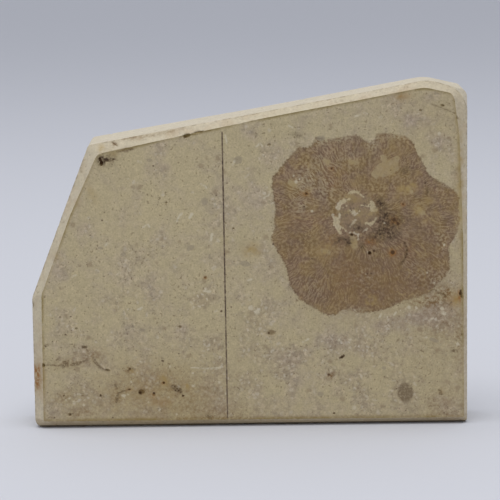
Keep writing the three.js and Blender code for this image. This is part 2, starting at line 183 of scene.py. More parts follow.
stoneMarks = {
    # thin brown seams of clay and iron: width, then the points they follow
    "seam": [
        (0.5, [(-71.4, 22.4), (-68.5, 22.5), (-65.4, 22.2)]), (1.5, [(-65, 22.1), (-63.4, 22.4)]),
        (0.6, [(-64.4, 23.5), (-63, 23.8)]), (1.2, [(-61.6, 22.5), (-59.2, 22.9)]),
        (0.8, [(-58.6, 23.2), (-56.3, 24.2)]), (1, [(-54.2, 24.8), (-53.3, 22.9), (-51.7, 21.2)]),
        (0.6, [(-51.7, 21.2), (-49.4, 20.3)]), (0.6, [(-66.9, 24.2), (-65.9, 25.3)]),
        (0.8, [(-71, 29.2), (-69.6, 29.5)]), (1.1, [(-57.6, 28.6), (-56.7, 28.6)]),
        (0.7, [(-56.4, 27.8), (-56.1, 27.4)]), (0.8, [(-46.6, 9.2), (-46.4, 10.8)]),
        (0.5, [(-46.3, 11.2), (-45.7, 12.4), (-43.8, 13.1), (-42, 13.5)]),
        (0.6, [(-42.2, 20.2), (-41.2, 21.2), (-40, 20.6)]), (0.8, [(-46.8, 15), (-46.2, 13.8)]),
        (0.35, [(62.3, 111), (67.4, 109), (71.5, 107.3), (74.2, 110.3)]),
        (1, [(53.2, 63.6), (54.1, 61), (53.5, 58.2), (52.1, 56.3)]), (0.5, [(-49.2, 92.9), (-47.8, 92.7)]),
        (0.4, [(-47, 93), (-46.2, 93.4)]), (1.6, [(-27, 14.4), (-24.4, 12.9)]),
        (0.7, [(-44.6, 96.1), (-42.2, 96.4)]), (0.7, [(-40.2, 96.8), (-38.9, 96.8)]),
        (0.6, [(-22.9, 101.3), (-21, 101.5), (-19, 101.8)]),
        (0.6, [(-19, 101.7), (-15.6, 102.4), (-12.5, 103)]), (0.9, [(-15.4, 3.9), (-14, 3.2)]),
        (0.8, [(60.6, 80), (61.4, 80.8), (61, 82.4)]), (0.7, [(23.4, 99.8), (25.4, 99.6)]),
        (0.5, [(62.2, 46.7), (63.6, 47.4), (64.6, 46), (66.4, 45.6), (67.5, 44.5)]),
        (0.5, [(66.6, 43.4), (68.4, 41.6), (69.4, 42.8)]), (1, [(69.4, 25.8), (71.5, 25.6)]),
        (0.6, [(64.9, 12), (65.8, 11.6), (65.3, 10.6), (66.3, 10.4)]), (0.6, [(46, 17), (47.3, 16.4)]),
    ],
    # brown and black grains: x, z, width
    "darkGrain": [
        (53.3, 63.4, 0.7), (53.8, 62.2, 0.7), (54.1, 60.9, 0.8), (54, 59.6, 0.7), (53.6, 58.3, 0.8),
        (52.7, 57.1, 0.7), (28.5, 89.3, 0.9), (52.8, 76.8, 0.8), (60.4, 83.9, 0.9), (54.5, 70.9, 0.5),
        (46.9, 73, 0.6), (35.2, 66.5, 1), (8.2, 63.6, 1), (40.4, 52.9, 0.6), (41.8, 52.9, 0.7),
        (42.8, 60.8, 1.2), (19.8, 80.8, 0.9), (-6.4, 41.9, 0.8), (-9.8, 40.5, 1.1), (-68.7, 51.3, 0.6),
        (-63.8, 32.9, 0.6), (-65.4, 39.2, 0.7), (-61.6, 39.3, 0.6), (-70.5, 29, 0.8), (-20.5, 28.3, 0.7),
        (-24.7, 25.9, 0.7), (-30.5, 23.5, 0.8), (-39.4, 27.1, 0.6), (-7.2, 84.8, 0.7), (-11, 80.6, 0.6),
        (-32.3, 91, 0.7), (-54.4, 67.4, 0.7), (-50.2, 72.5, 0.7), (-49.3, 75.3, 0.6), (50.4, 12.6, 0.6),
        (45.2, 71.3, 0.5), (47.5, 68.3, 0.5), (19, 76.5, 0.7), (19, 66.3, 0.5), (18.8, 65.2, 0.5),
        (20.5, 64, 0.5), (21.5, 58.4, 0.5), (33.9, 63.4, 0.6), (48.6, 88.5, 0.5), (39.8, 64.8, 0.5),
        (-70.2, 12.8, 0.6), (30.8, 23.7, 1), (31.5, 24, 1.3), (32.2, 24.5, 1.2), (28.7, 4.3, 0.6),
        (6.4, 32.6, 1), (26.9, 17.9, 0.9), (75, 103.6, 0.6), (49.2, 60.2, 1.7), (41.3, 60.1, 1.3),
        (-66, 26.4, 0.5), (-68.2, 30.7, 0.5), (-63.7, 33.1, 0.8), (-68.1, 3.9, 0.7), (-69.8, 4.2, 0.5),
        (-47.9, 3.7, 0.6), (-23.5, 11.1, 0.9), (-26.3, 14.4, 0.6), (-25.5, 13.7, 0.7), (-25, 12.9, 0.7),
        (-26, 13, 0.6), (-24.4, 12.2, 0.6), (-52, 11.6, 0.8), (-62.7, 4.9, 0.8), (-61.8, 5.3, 0.7),
        (-41.6, 20.8, 0.9), (-30.2, 23.4, 0.8), (-30.1, 15.7, 0.9), (-42, 13.5, 0.7), (-33.5, 12.1, 1.1),
        (-71.3, 22.4, 0.8), (73.3, 52.9, 0.6), (72.9, 31.5, 0.6), (66.8, 3.9, 0.7), (61.6, 14.5, 0.5),
        (53.5, 4.9, 0.6), (-50.3, 93.8, 0.7), (-50.2, 93, 0.9), (-50, 92.2, 1.1), (-45.6, 93.5, 0.6),
        (72.6, 46.6, 1), (72.6, 45.6, 1.5), (73.1, 44.5, 1.2), (49.7, 71.4, 1.5), (51.1, 70.1, 1.3),
        (-20.2, 101.4, 1.1), (-21.2, 101, 1.4), (-21.6, 100.5, 0.8), (-18.8, 101.9, 0.7), (-46, 99, 0.7),
        (-45.1, 98.1, 0.8), (35.3, 66.4, 0.9), (-38.3, 12.2, 1.3),
    ],
    # bits of shell and crinoid, nearly white: x, z, width
    "paleGrain": [
        (-41.9, 41.5, 0.9), (-19, 42.1, 0.8), (-15, 48.1, 0.7), (-45.6, 44.4, 0.7), (0.4, 41.5, 1.9),
        (2.4, 40.1, 2), (30.6, 30.1, 1.1), (34.4, 30, 1), (13.4, 24.7, 1.1), (35.7, 6, 1.6),
        (66, 40.6, 1.4), (66.7, 38.7, 1.7), (65.4, 42.6, 1.1), (71.4, 28, 1.6), (57.4, 40.7, 1.2),
        (54.7, 41, 1.4), (60.5, 30.5, 1.2), (47.2, 37.7, 0.9), (65.2, 100.9, 1.2), (6.2, 83.2, 0.9),
        (21.7, 74.8, 1.1), (16.4, 85, 1.2), (17.6, 85.8, 0.8), (66.8, 62.6, 0.7), (51.8, 40, 0.7),
        (-44, 11.3, 1.6), (46.4, 70.4, 0.7), (40.4, 60.4, 0.9), (-64, 10.1, 0.8), (-62.8, 10.7, 0.8),
        (-65.7, 8.6, 0.8), (-66.8, 8.8, 0.7), (-61.4, 9.5, 0.7), (-60.3, 9.5, 0.7), (-57.8, 8.3, 1),
        (-19.8, 14.6, 1.1), (-10.9, 15.7, 1.3), (-8.8, 11.7, 0.9), (-42.6, 12, 0.8), (-38, 23.2, 0.9),
        (-27.8, 21.6, 0.8), (-19.9, 19.1, 0.9), (-25.7, 4.7, 0.9), (-41.4, 16.2, 0.8), (-35.6, 9.1, 0.7),
        (-31.6, 6.2, 0.8), (-28.4, 10.6, 0.7), (15.6, 87, 0.8), (26.5, 85.5, 0.6), (60.9, 53, 0.7),
        (63.5, 49.5, 0.8),
    ],
    # thin curved bits of shell: width, then the points they follow
    "shell": [
        (0.5, [(-16.2, 84.6), (-15, 84), (-14.2, 83.2)]),
        (0.6, [(-24.5, 72), (-23.9, 73.6), (-22.8, 74.6)]), (0.9, [(-20.2, 73), (-19.4, 74.4)]),
        (0.7, [(-13, 65.2), (-12.6, 67.4)]), (0.5, [(-7.2, 98.6), (-7.6, 101.2)]),
        (0.6, [(-49.4, 63.8), (-48.4, 64.6)]), (0.5, [(-36.4, 69.8), (-34.6, 71), (-34, 70)]),
        (0.7, [(-15.8, 47.6), (-13.6, 47.4)]), (0.4, [(-20.6, 21), (-16, 20.6), (-10.4, 20.8)]),
        (0.5, [(-61, 53), (-59.6, 53.8)]), (0.5, [(2.6, 97), (4.4, 98.4), (5, 97.2)]),
        (0.6, [(-5.2, 91), (-4.6, 92.4)]), (0.6, [(5, 79.6), (6.8, 80.2), (7.2, 81.6)]),
        (0.5, [(-38.6, 41.4), (-37, 42.2)]), (0.5, [(18.2, 29.4), (20, 30.4)]),
        (0.6, [(44.4, 37.6), (45.2, 38.8)]), (0.6, [(49.6, 38.4), (50.4, 39.6)]),
        (0.6, [(61.6, 36.4), (63, 37.2)]), (0.5, [(36.6, 107), (38.4, 107.6)]),
        (0.5, [(14, 104.2), (15.4, 103.4)]), (0.5, [(-0.6, 51), (0.8, 51.6)]),
    ],
    # pieces of greyer mud: x, z, width, height and, where one is turned, its degrees
    "clast": [
        (24.8, 99.7, 3.4, 1.9), (-20.1, 62.6, 3.1, 2, 30), (-1.4, 56.9, 4, 2, -8), (-3.4, 92.6, 3.2, 2.8),
        (-15, 78.6, 2.6, 3), (-33.6, 93, 2, 1.4), (-43, 60.8, 2.2, 1.4, 20), (-13.6, 59.6, 0.8, 2.4),
        (-51, 63, 2, 1), (-37.2, 34.4, 2, 1.2), (63.3, 29.5, 3.8, 1.4, -20), (46, 20, 2, 1.4),
        (24, 11, 2.4, 1.8),
    ],
    "oval": (53.4, 11.3, 5.8, 7.1, 5),  # the same, a larger round one
    "ovalEdge": (1.06, 4.5),  # how far out its colour reaches, and how sharply it ends
    # a pen line down the face
    "inkLine": {
        "top": (-8.7, 102.3), "foot": (-8.2, 3), "width": 0.47, "blur": 0.3,
        "wornStarts": (0.32, 0.56, 0.5),  # by noise: where the wear ends, and the least ink left
        "rubbedStarts": (0, 50, 0.8),  # the same by height, paler at the foot
    },
}

# Colour clouds on the stone: x, z, width, height, strength and, where one is turned, its degrees.
stains = {
    "umber": [
        (-53.9, 26, 10, 6, 0.3), (-62, 23.2, 16, 5, 0.35, 5), (-34, 10, 46, 20, 0.12),
        (-42, 20.4, 3, 2.6, 0.8), (-20, 10, 22, 16, 0.22), (-65.4, 10.8, 8, 5, 0.35, 10),
        (-59, 5.6, 13, 5, 0.35), (-33, 16.5, 26, 12, 0.22), (-46, 11, 6, 8, 0.35, -15),
        (66, 6, 14, 14, 0.3), (-10, 5, 30, 8, 0.25), (0, 2.9, 240, 1.3, 0.45),
        (-47.9, 93, 5.2, 2.2, 0.35, 10), (70.8, 84, 3, 14, 0.25), (64, 24, 70, 50, 0.12),
        (64, 106, 40, 30, 0.12), (-34, 14, 90, 40, 0.06), (40, 50, 46, 24, 0.5), (15, 66, 12, 26, 0.22),
        (62, 58, 16, 26, 0.3), (-45.6, 98.6, 3, 3, 0.5), (-54.7, 27, 5, 6, 0.15, 20),
        (-42.6, 100.3, 2, 1.6, 0.6), (-39.6, 100.6, 4, 1.4, 0.6, 12), (-35, 100.9, 8, 1.4, 0.5, 12),
        (-26, 102.6, 12, 1.6, 0.4, 12), (-50, 8, 60, 16, 0.06), (67.8, 46, 6, 5, 0.6),
        (7.3, 33, 3.8, 2.9, 0.35), (27.6, 17.4, 3.4, 3, 0.9), (-41, 97, 9, 1.2, 0.5, 12),
        (62, 43, 14, 5, 0.4, 10), (66, 36, 18, 20, 0.2), (72.4, 30, 4, 30, 0.25),
    ],
    "ochre": [
        (47.6, 89.4, 12, 9, 0.55, 10), (53.2, 81.9, 6, 4.6, 0.8), (55.6, 83, 4, 3.4, 0.7, 30),
        (57.9, 74.9, 4.6, 3.6, 0.9), (62, 78.1, 4, 3, 0.6), (60.3, 70.9, 3, 2.6, 0.6),
        (50.6, 79.4, 3, 2.6, 0.4), (64.6, 73.4, 3, 2.6, 0.4), (36, 84.4, 4, 3, 0.5), (51, 96, 10, 6, 0.35),
        (57.8, 87.1, 3, 3, 0.5), (36.1, 91.3, 6, 3, 0.5), (14.9, 84.3, 7, 5, 0.5), (26.9, 91.6, 5, 4, 0.4),
        (36.4, 79, 6, 4, 0.6), (43.3, 43.8, 1.4, 1.4, 0.9), (42.6, 45, 1.4, 1.4, 0.9),
        (41.2, 45, 1.4, 1.4, 0.9), (40.2, 43.9, 1.4, 1.4, 0.9), (40.5, 42.5, 1.4, 1.4, 0.9),
        (42.3, 42.4, 1.4, 1.4, 0.9), (36, 63.4, 4, 5, 0.6), (25.6, 61, 10, 6, 0.7, 30),
        (38, 71.5, 8, 5, 0.3), (43.4, 74.4, 3, 3, 0.5), (-36, 2.8, 50, 2, 0.3), (72.4, 84, 2.6, 50, 0.7),
        (52.7, 113.6, 7, 4, 0.5, 10), (70.4, 43.6, 6, 7, 0.5), (-46, 95.4, 5, 3, 0.5),
        (0.9, 61.6, 7, 5.5, 0.85), (-8, 60, 3, 20, 0.2), (-33, 12, 50, 26, 0.34),
        (-29.8, 16.9, 4.2, 4.6, 0.6), (-21.8, 14.6, 1.4, 2.4, 1), (71.2, 44, 2.4, 3.4, 1),
        (65.6, 11.4, 2.4, 2.4, 0.6), (-50, 97, 2.2, 4, 0.7), (-41, 20, 2.4, 2, 0.4),
        (-53.6, 82, 3, 10, 0.4, 25), (-73.9, 18, 3, 10, 0.45), (-66, 60, 3, 8, 0.3, 25),
    ],
    "rust": [
        (-30.8, 9, 7, 3.4, 0.35), (-38, 13.5, 6, 5, 0.1), (-33.8, 11.2, 3, 3.4, 0.45),
        (-30.1, 15.7, 1.8, 1.5, 0.7), (-42, 13.5, 2.4, 1.6, 0.6), (-58.6, 79, 3, 4, 0.25),
        (52.7, 113.6, 6, 3.5, 0.25, 10), (72.2, 44.8, 1.8, 5.5, 1), (69.6, 43.4, 4.5, 5, 0.3, 30),
        (-73.8, 20.4, 3.6, 5.4, 0.8), (-74, 15.4, 3.4, 5, 0.75), (-73.2, 18, 3.4, 12, 0.35),
        (-71.4, 17, 1.6, 14, 0.2), (34, 54, 14, 18, 0.1), (41.6, 64, 4.6, 3, 0.8),
        (49.8, 71, 4.4, 3, 0.95, -30), (49.1, 60, 2.8, 3, 1.3), (19.8, 80.8, 2.4, 2, 0.7),
        (18.4, 80.6, 4, 2, 0.3), (28.5, 89.3, 1.8, 1.6, 0.8), (52.8, 76.8, 1.6, 1.6, 1),
        (29, 84.5, 9, 9, 0.2), (-49.8, 92.4, 4, 5, 0.12), (-15.2, 52.3, 1.4, 1.2, 1), (20, 72, 14, 7, 0.12),
        (31, 64.6, 8, 4, 0.15), (54, 61, 7, 8, 0.2), (28, 64.6, 6, 6, 0.12),
    ],
    "soot": [
        (45.1, 76.7, 4, 5, 1, 15), (46, 71.8, 6, 5, 0.7), (46.6, 67.4, 8, 6, 0.85, -20),
        (43, 65.6, 6, 5, 0.6), (34.2, 63.8, 3, 3, 0.7, 20), (37, 68.8, 6, 2.6, 0.8, -10),
        (53.4, 88.4, 4.4, 2.8, 0.5), (49.6, 66, 5, 5, 0.5), (48, 73.4, 4, 3, 0.4),
        (32, 65, 7, 2.4, 0.5, -8), (38.6, 62.4, 2.4, 3, 0.7), (19.4, 76.2, 2.4, 2, 0.4),
        (51, 71, 8, 6, 0.5), (30, 64, 3, 2, 0.5), (42, 57, 14, 5, 0.15), (-25.6, 13.6, 3.4, 2.6, 0.25, -30),
        (-48.2, 93.4, 7, 4.4, 0.7, 10), (-50, 93, 2.6, 4.4, 0.8, 10), (-40.6, 96.9, 4, 1.6, 0.7, 12),
        (17, 100.8, 5, 2, 0.4, -10),
    ],
    "faded": [
        (30, 100.2, 16, 4.6, 1), (42.5, 98.2, 5, 8, 0.9), (52, 100.6, 16, 4.4, 0.9),
        (24.5, 98.6, 7, 3.5, 0.8), (36.4, 40, 8, 3.4, 1), (58, 44.6, 14, 2.2, 0.7, 18),
        (71.5, 66, 2.4, 16, 0.6), (60.5, 91.5, 5, 4, 0.6, -50), (9, 70, 2, 10, 0.4),
        (16.5, 96, 6, 2.6, 0.5, 40), (67.4, 83.2, 8, 2.4, 0.6, -20), (22, 41, 8, 2.4, 0.5, -30),
    ],
    "calcite": [
        (19, 84.6, 11, 8, 0.7, 35), (26.5, 82.5, 9, 9, 0.6), (24, 91, 10, 6, 0.4, 40), (65, 50, 8, 8, 0.7),
        (58, 55, 10, 12, 0.3), (66, 64, 6, 12, 0.4), (34, 93, 12, 8, 0.3), (18, 76, 7, 6, 0.6),
        (22, 48, 8, 8, 0.3), (40, 52, 7, 10, 0.4),
    ],
    "mauve": [
        (-68, 56, 12, 14, 0.5), (65.4, 99, 9, 8, 0.6), (31.4, 29.4, 14, 9, 0.9), (12.7, 23.7, 12, 10, 0.9),
        (16.5, 16.6, 10, 8, 0.5), (51.1, 36.5, 26, 7, 0.9, 12), (62, 37.5, 14, 9, 0.8),
        (65.9, 7.8, 9, 9, 0.6), (-60, 6.8, 16, 6, 0.35), (-37, 9, 20, 12, 0.1), (-56, 83, 8, 8, 0.3),
        (2, 80, 9, 14, 0.5), (55.5, 105.1, 5, 5, 0.8),
    ],
    "debris": [
        (-42, 43, 20, 12, 0.9), (-17, 45, 12, 12, 0.9), (2, 40, 10, 12, 1), (34, 29, 18, 9, 0.8),
        (13, 24.5, 18, 16, 0.7), (52, 37, 30, 8, 0.9, 10), (66, 36, 10, 16, 1), (-60, 10, 16, 12, 0.8),
        (-34, 14, 40, 30, 0.9), (4, 90, 14, 16, 0.5), (-35, 60, 40, 30, 0.3), (-60, 36, 16, 20, 0.5),
        (65, 99, 10, 14, 0.6), (7, 80, 7, 8, 0.8), (-12, 33, 24, 30, 0.5), (46, 16, 60, 34, 0.6),
        (0, 20, 36, 40, 0.5),
    ],
}


def toLinear(hexColour):
    channels = [int(hexColour[i:i + 2], 16) / 255 for i in (1, 3, 5)]
    return [c / 12.92 if c <= 0.04045 else ((c + 0.055) / 1.055) ** 2.4 for c in channels] + [1]


def addNode(tree, kind, inputs=(), out=0, **settings):
    # inputs are a dictionary, or a tuple of the first ones in their order
    node = tree.nodes.new(kind)
    for name, value in settings.items():
        setattr(node, name, value)
    for key, value in inputs.items() if isinstance(inputs, dict) else enumerate(inputs):
        if isinstance(value, bpy.types.NodeSocket):
            tree.links.new(value, node.inputs[key])
        else:
            node.inputs[key].default_value = value
    return node.outputs[out]


def pathDistance(points, path):
    nearest = np.full(len(points), np.inf)
    for start, end in zip(path[:-1], path[1:]):
        along = np.subtract(end, start)
        share = np.clip((points - start) @ along / max(along @ along, 1e-9), 0, 1)
        gap = points - start - share[:, None] * along
        nearest = np.minimum(nearest, np.hypot(gap[:, 0], gap[:, 1]))
    return nearest


def outlineDistance(points, outline):
    # distance to a closed outline, positive inside it
    closed = [tuple(point) for point in outline] + [tuple(outline[0])]
    inside = np.zeros(len(points), bool)
    for (ax, az), (bx, bz) in zip(closed[:-1], closed[1:]):
        if az != bz:
            crosses = (points[:, 1] > min(az, bz)) & (points[:, 1] <= max(az, bz))
            inside ^= crosses & (points[:, 0] < ax + (points[:, 1] - az) * (bx - ax) / (bz - az))
    return np.where(inside, 1, -1) * pathDistance(points, closed)


def strokeDistance(points, strokes):
    # distance to the edge of the nearest stroke, positive inside it
    best = np.full(len(points), -99.0)
    for width, path in strokes:
        best = np.maximum(best, width / 2 - pathDistance(points, path))
    return best


def ovalPlace(points, x, z, wide, tall, turn=0):
    # 0 in the middle of an oval, 1 on its edge
    angle = math.radians(turn)
    across = (points[:, 0] - x) * math.cos(angle) + (points[:, 1] - z) * math.sin(angle)
    up = (points[:, 1] - z) * math.cos(angle) - (points[:, 0] - x) * math.sin(angle)
    return np.hypot(across / (wide / 2), up / (tall / 2))


def cloudStrength(points, clouds):
    # strongest in the middle of each cloud, a quarter of that on its edge
    total = np.zeros(len(points))
    for x, z, wide, tall, strength, *turn in clouds:
        total += strength * np.exp(-1.4 * ovalPlace(points, x, z, wide, tall, *turn) ** 2)
    return total


def noiseAt(points, size, seed):
    # smooth noise, about -0.7 to 0.7, with lumps of the given size; each seed is another part of it
    offset = Vector((seed * 17.3, seed * -9.1, seed * 5.7))
    return np.array([noise.noise(Vector(point) / size + offset) for point in points])


def roundCorner(before, corner, after, radius, steps):
    inward = (corner - before) / np.linalg.norm(corner - before)
    outward = (after - corner) / np.linalg.norm(after - corner)
    turn = math.atan2(inward[0] * outward[1] - inward[1] * outward[0], inward @ outward)
    sideways = np.array([-inward[1], inward[0]])
    centre = corner - inward * radius * math.tan(turn / 2) + sideways * radius
    angles = math.atan2(-inward[0], inward[1]) + turn * np.linspace(0, 1, steps + 1)
    return [centre + radius * np.array([math.cos(a), math.sin(a)]) for a in angles]


def slabOutlines():
    # matching points round the slab on each of its rings
    count = len(slabCorners)
    rings = ["face", "ridge", "heel", "back"]
    rounds = {}
    for depth, ring in enumerate(rings):
        rows = [next(corner[r] for r in rings[depth::-1] if r in corner) for corner in slabCorners]
        places = [np.array(row[:2], float) for row in rows]
        rounds[ring] = [
            roundCorner(places[i - 1], places[i], places[(i + 1) % count], rows[i][2], corner["steps"])
            if corner["steps"] else [places[i]] for i, corner in enumerate(slabCorners)]
    outlines = {ring: [] for ring in rings}
    for i in range(count):
        after = (i + 1) % count
        span = np.linalg.norm(rounds["ridge"][after][0] - rounds["ridge"][i][-1])
        steps = max(1, round(span / slabShape["edgeStep"]))
        for ring, points in outlines.items():
            start, end = rounds[ring][i][-1], rounds[ring][after][0]
            points.extend(rounds[ring][i])
            points.extend(start + (end - start) * step / steps for step in range(1, steps))
    return {ring: np.array(points) for ring, points in outlines.items()}


def outlineNormals(outline):
    # unit vectors in the slab's plane that point into the stone
    along = np.roll(outline, -1, axis=0) - np.roll(outline, 1, axis=0)
    along /= np.linalg.norm(along, axis=1)[:, None]
    return np.stack([-along[:, 1], along[:, 0]], axis=1)


def slabRings(outlines):
    # rows of points from the edge of the polished face, over the bevel and the sawn edge,
    # to the edge of the back; each row wanders and chips a little, always into the stone
    shape = slabShape
    ridgeAt = low.y + shape["bevelDepth"]
    heelAt = ridgeAt + shape["heelDepth"]
    wallEnd = high.y - shape["backArris"]
    wallRings = round((wallEnd - heelAt) / shape["wallStep"])
    calm = shape["flatChipping"]
    # each row: the two rings it lies between, how far along, how much it chips, share of the arris
    rows = [("face", "ridge", share, 1 if share in (0, 1) else calm, 0) for share in shape["bevelRings"]]
    rows += [("ridge", "heel", share, shape["heelChipping"], 0) for share in shape["heelRings"]]
    rows += [("heel", "back", step / wallRings, calm, 0) for step in range(1, wallRings + 1)]
    rows += [("back", "back", 0.5, 1, 0.3), ("back", "back", 1, 1, 1)]
    spans = {
        "face": (low.y, ridgeAt), "ridge": (ridgeAt, heelAt),
        "heel": (heelAt, wallEnd), "back": (wallEnd, high.y)}
    inward = outlineNormals(outlines["ridge"])
    rings = []
    for near, far, share, broken, arris in rows:
        flat = outlines[near] + (outlines[far] - outlines[near]) * share
        flat += inward * arris * shape["backArris"]
        front, back = spans[near]
        points = np.insert(flat, 1, front + (back - front) * share, axis=1)
        # the bevel wanders half as much as the sawn edge
        push = np.zeros(len(points))
        for kind, amount in (("wander", 0.5 if near == "face" else 1), ("chipping", broken)):
            for lump, seed, lift, deep in shape[kind]:
                push += amount * deep * np.clip(noiseAt(points, lump, seed) + lift, 0, 1)
        points[:, 0] += inward[:, 0] * push
        points[:, 2] += inward[:, 1] * push
        rings.append(points)
    return np.array(rings)


def alongPath(path, step):
    # points at even steps along a path
    points = []
    for start, end in zip(path[:-1], path[1:]):
        count = max(1, round(math.dist(start, end) / step))
        points += [tuple(np.add(start, np.subtract(end, start) * k / count)) for k in range(count)]
    return points


def hexGrid(x0, x1, z0, z1, step):
    columns = np.arange(x0, x1, step)
    rows = np.arange(z0, z1, step * math.sqrt(3) / 2)
    grid = np.array([(x + (step / 2 if r % 2 else 0), z) for r, z in enumerate(rows) for x in columns])
    jitter = slabShape["jitter"]
    return grid + rng.uniform(-jitter, jitter, grid.shape) * step


def pitPoints(shares, x, z, wide, tall, turn=0):
    # rings of points that shape one pit
    angle = math.radians(turn)
    points = [(x, z)]
    for share in shares:
        count = max(8, round(math.pi * (wide + tall) / 2 * share / slabShape["fineStep"]))
        for step in range(count):
            a = 2 * math.pi * (step + 0.5 * share) / count
            across, up = share * wide / 2 * math.cos(a), share * tall / 2 * math.sin(a)
            points.append((x + across * math.cos(angle) - up * math.sin(angle),
                           z + across * math.sin(angle) + up * math.cos(angle)))
    return points


def polishedFacePoints(edge):
    # points inside the polished face: a plain grid, closer where something fine is drawn
    step, fineStep, reach = (slabShape[name] for name in ("faceStep", "fineStep", "fineReach"))
    centre = spongeMarks["centre"]
    cx, cz = centre
    coarse = hexGrid(edge[:, 0].min(), edge[:, 0].max(), edge[:, 1].min(), edge[:, 1].max(), step)
    fine = hexGrid(cx - reach - 1, cx + reach + 1, cz - reach - 2, cz + reach + 1, fineStep)
    coarse = coarse[np.hypot(*(coarse - centre).T) > reach + 0.2]
    fine = fine[np.hypot(*(fine - centre).T) < reach]
    grid = np.concatenate([coarse, fine])
    grid = grid[outlineDistance(grid, edge) > 0.5 * step]
    hollows = [(*hollow[:4], hollow[5]) for hollow in pits + chips]
    placed = []
    for hollow in hollows:
        grid = grid[ovalPlace(grid, *hollow) > slabShape["pitMargin"]]
        placed += pitPoints(slabShape["pitRings"], *hollow)

    def clearOfPits(point, margin):
        return min(ovalPlace(np.array([point]), *hollow)[0] for hollow in hollows) > margin

    for x, z, wide in stoneMarks["darkGrain"] + stoneMarks["paleGrain"]:
        if clearOfPits((x, z), slabShape["grainToPit"]):
            grid = grid[ovalPlace(grid, x, z, wide, wide) > slabShape["grainMargin"]]
            placed += pitPoints(slabShape["grainRings"], x, z, wide, wide)
    seams = [point for _, path in stoneMarks["seam"] for point in alongPath(path, fineStep)]
    placed += [point for point in seams if clearOfPits(point, slabShape["seamToPit"])]
    placed = np.array(placed)
    return np.concatenate([grid, placed[outlineDistance(placed, edge) > slabShape["rimMargin"]]])


def sinkPits(points):
    # pushes points into the stone where a pit or chip is, and returns how far each one went
    flat = points[:, [0, 2]]
    start = points[:, 1].copy()
    reach = low.y + slabShape["bevelDepth"] + slabShape["chipReach"]
    for x, z, wide, tall, deep, turn, back in [(*pit, 0) for pit in pits] + chips:
        place = ovalPlace(flat, x, z, wide, tall, turn)
        close = place < 1.6
        lump = slabShape["raggedLumps"] * (wide + tall)
        place[close] *= 1 + slabShape["raggedness"] * noiseAt(points[close], lump, 6)
        floor = low.y + back + deep * np.sqrt(np.clip(1 - place ** 2, 0, 1))
        near = (place < 1) & (points[:, 1] < reach)
        points[:, 1] = np.where(near, np.maximum(points[:, 1], floor), points[:, 1])
    return points[:, 1] - start


def triangulate(edge, inside):
    # triangles over a closed edge and the points in it; edge points keep their numbers
    count = len(edge)
    flat = [Vector(point) for point in np.concatenate([edge, inside])]
    rim = [(i, (i + 1) % count) for i in range(count)]
    _, _, triangles, origins, _, _ = delaunay_2d_cdt(flat, rim, [], 1, 1e-7)
    first = [origin[0] for origin in origins]
    return [[first[corner] for corner in triangle] for triangle in triangles]


def bakeMap(mesh, zones, columns, rings, perimeter):
    # one flat map of the whole slab: face and back one above the other, edges in three strips
    width, height = high.x - low.x, high.z - low.z
    gap, strips = 2, 3  # mm between the parts of the map, and strips that the edges are cut into
    stripWide = slabShape["bevelDepth"] * 2 + (high.y - low.y)
    side = max(2 * height + 3 * gap, width + strips * (stripWide + gap) + 2 * gap)
    co = np.array([vertex.co for vertex in mesh.vertices]) / mm
    layer = mesh.uv_layers.new(name="OFBake")
    uv = np.zeros((len(mesh.loops), 2))
    stripLength = perimeter[-1] / strips
    for polygon, zone, column in zip(mesh.polygons, zones, columns):
        for loop in polygon.loop_indices:
            vertex = mesh.loops[loop].vertex_index
            x, _, z = co[vertex]
            if zone == "face":
                uv[loop] = gap + x - low.x, gap + z
            elif zone == "back":
                uv[loop] = gap + x - low.x, 2 * gap + height + z
            else:
                ring, spot = divmod(vertex, len(perimeter) - 1)
                if spot == 0 and column > 0:
                    spot = len(perimeter) - 1
                strip = min(int(perimeter[column] / stripLength), strips - 1)
                across = gap + width + gap + strip * (stripWide + gap)
                uv[loop] = across + rings[ring], gap + perimeter[spot] - strip * stripLength
    layer.data.foreach_set("uv", (uv / side).ravel())


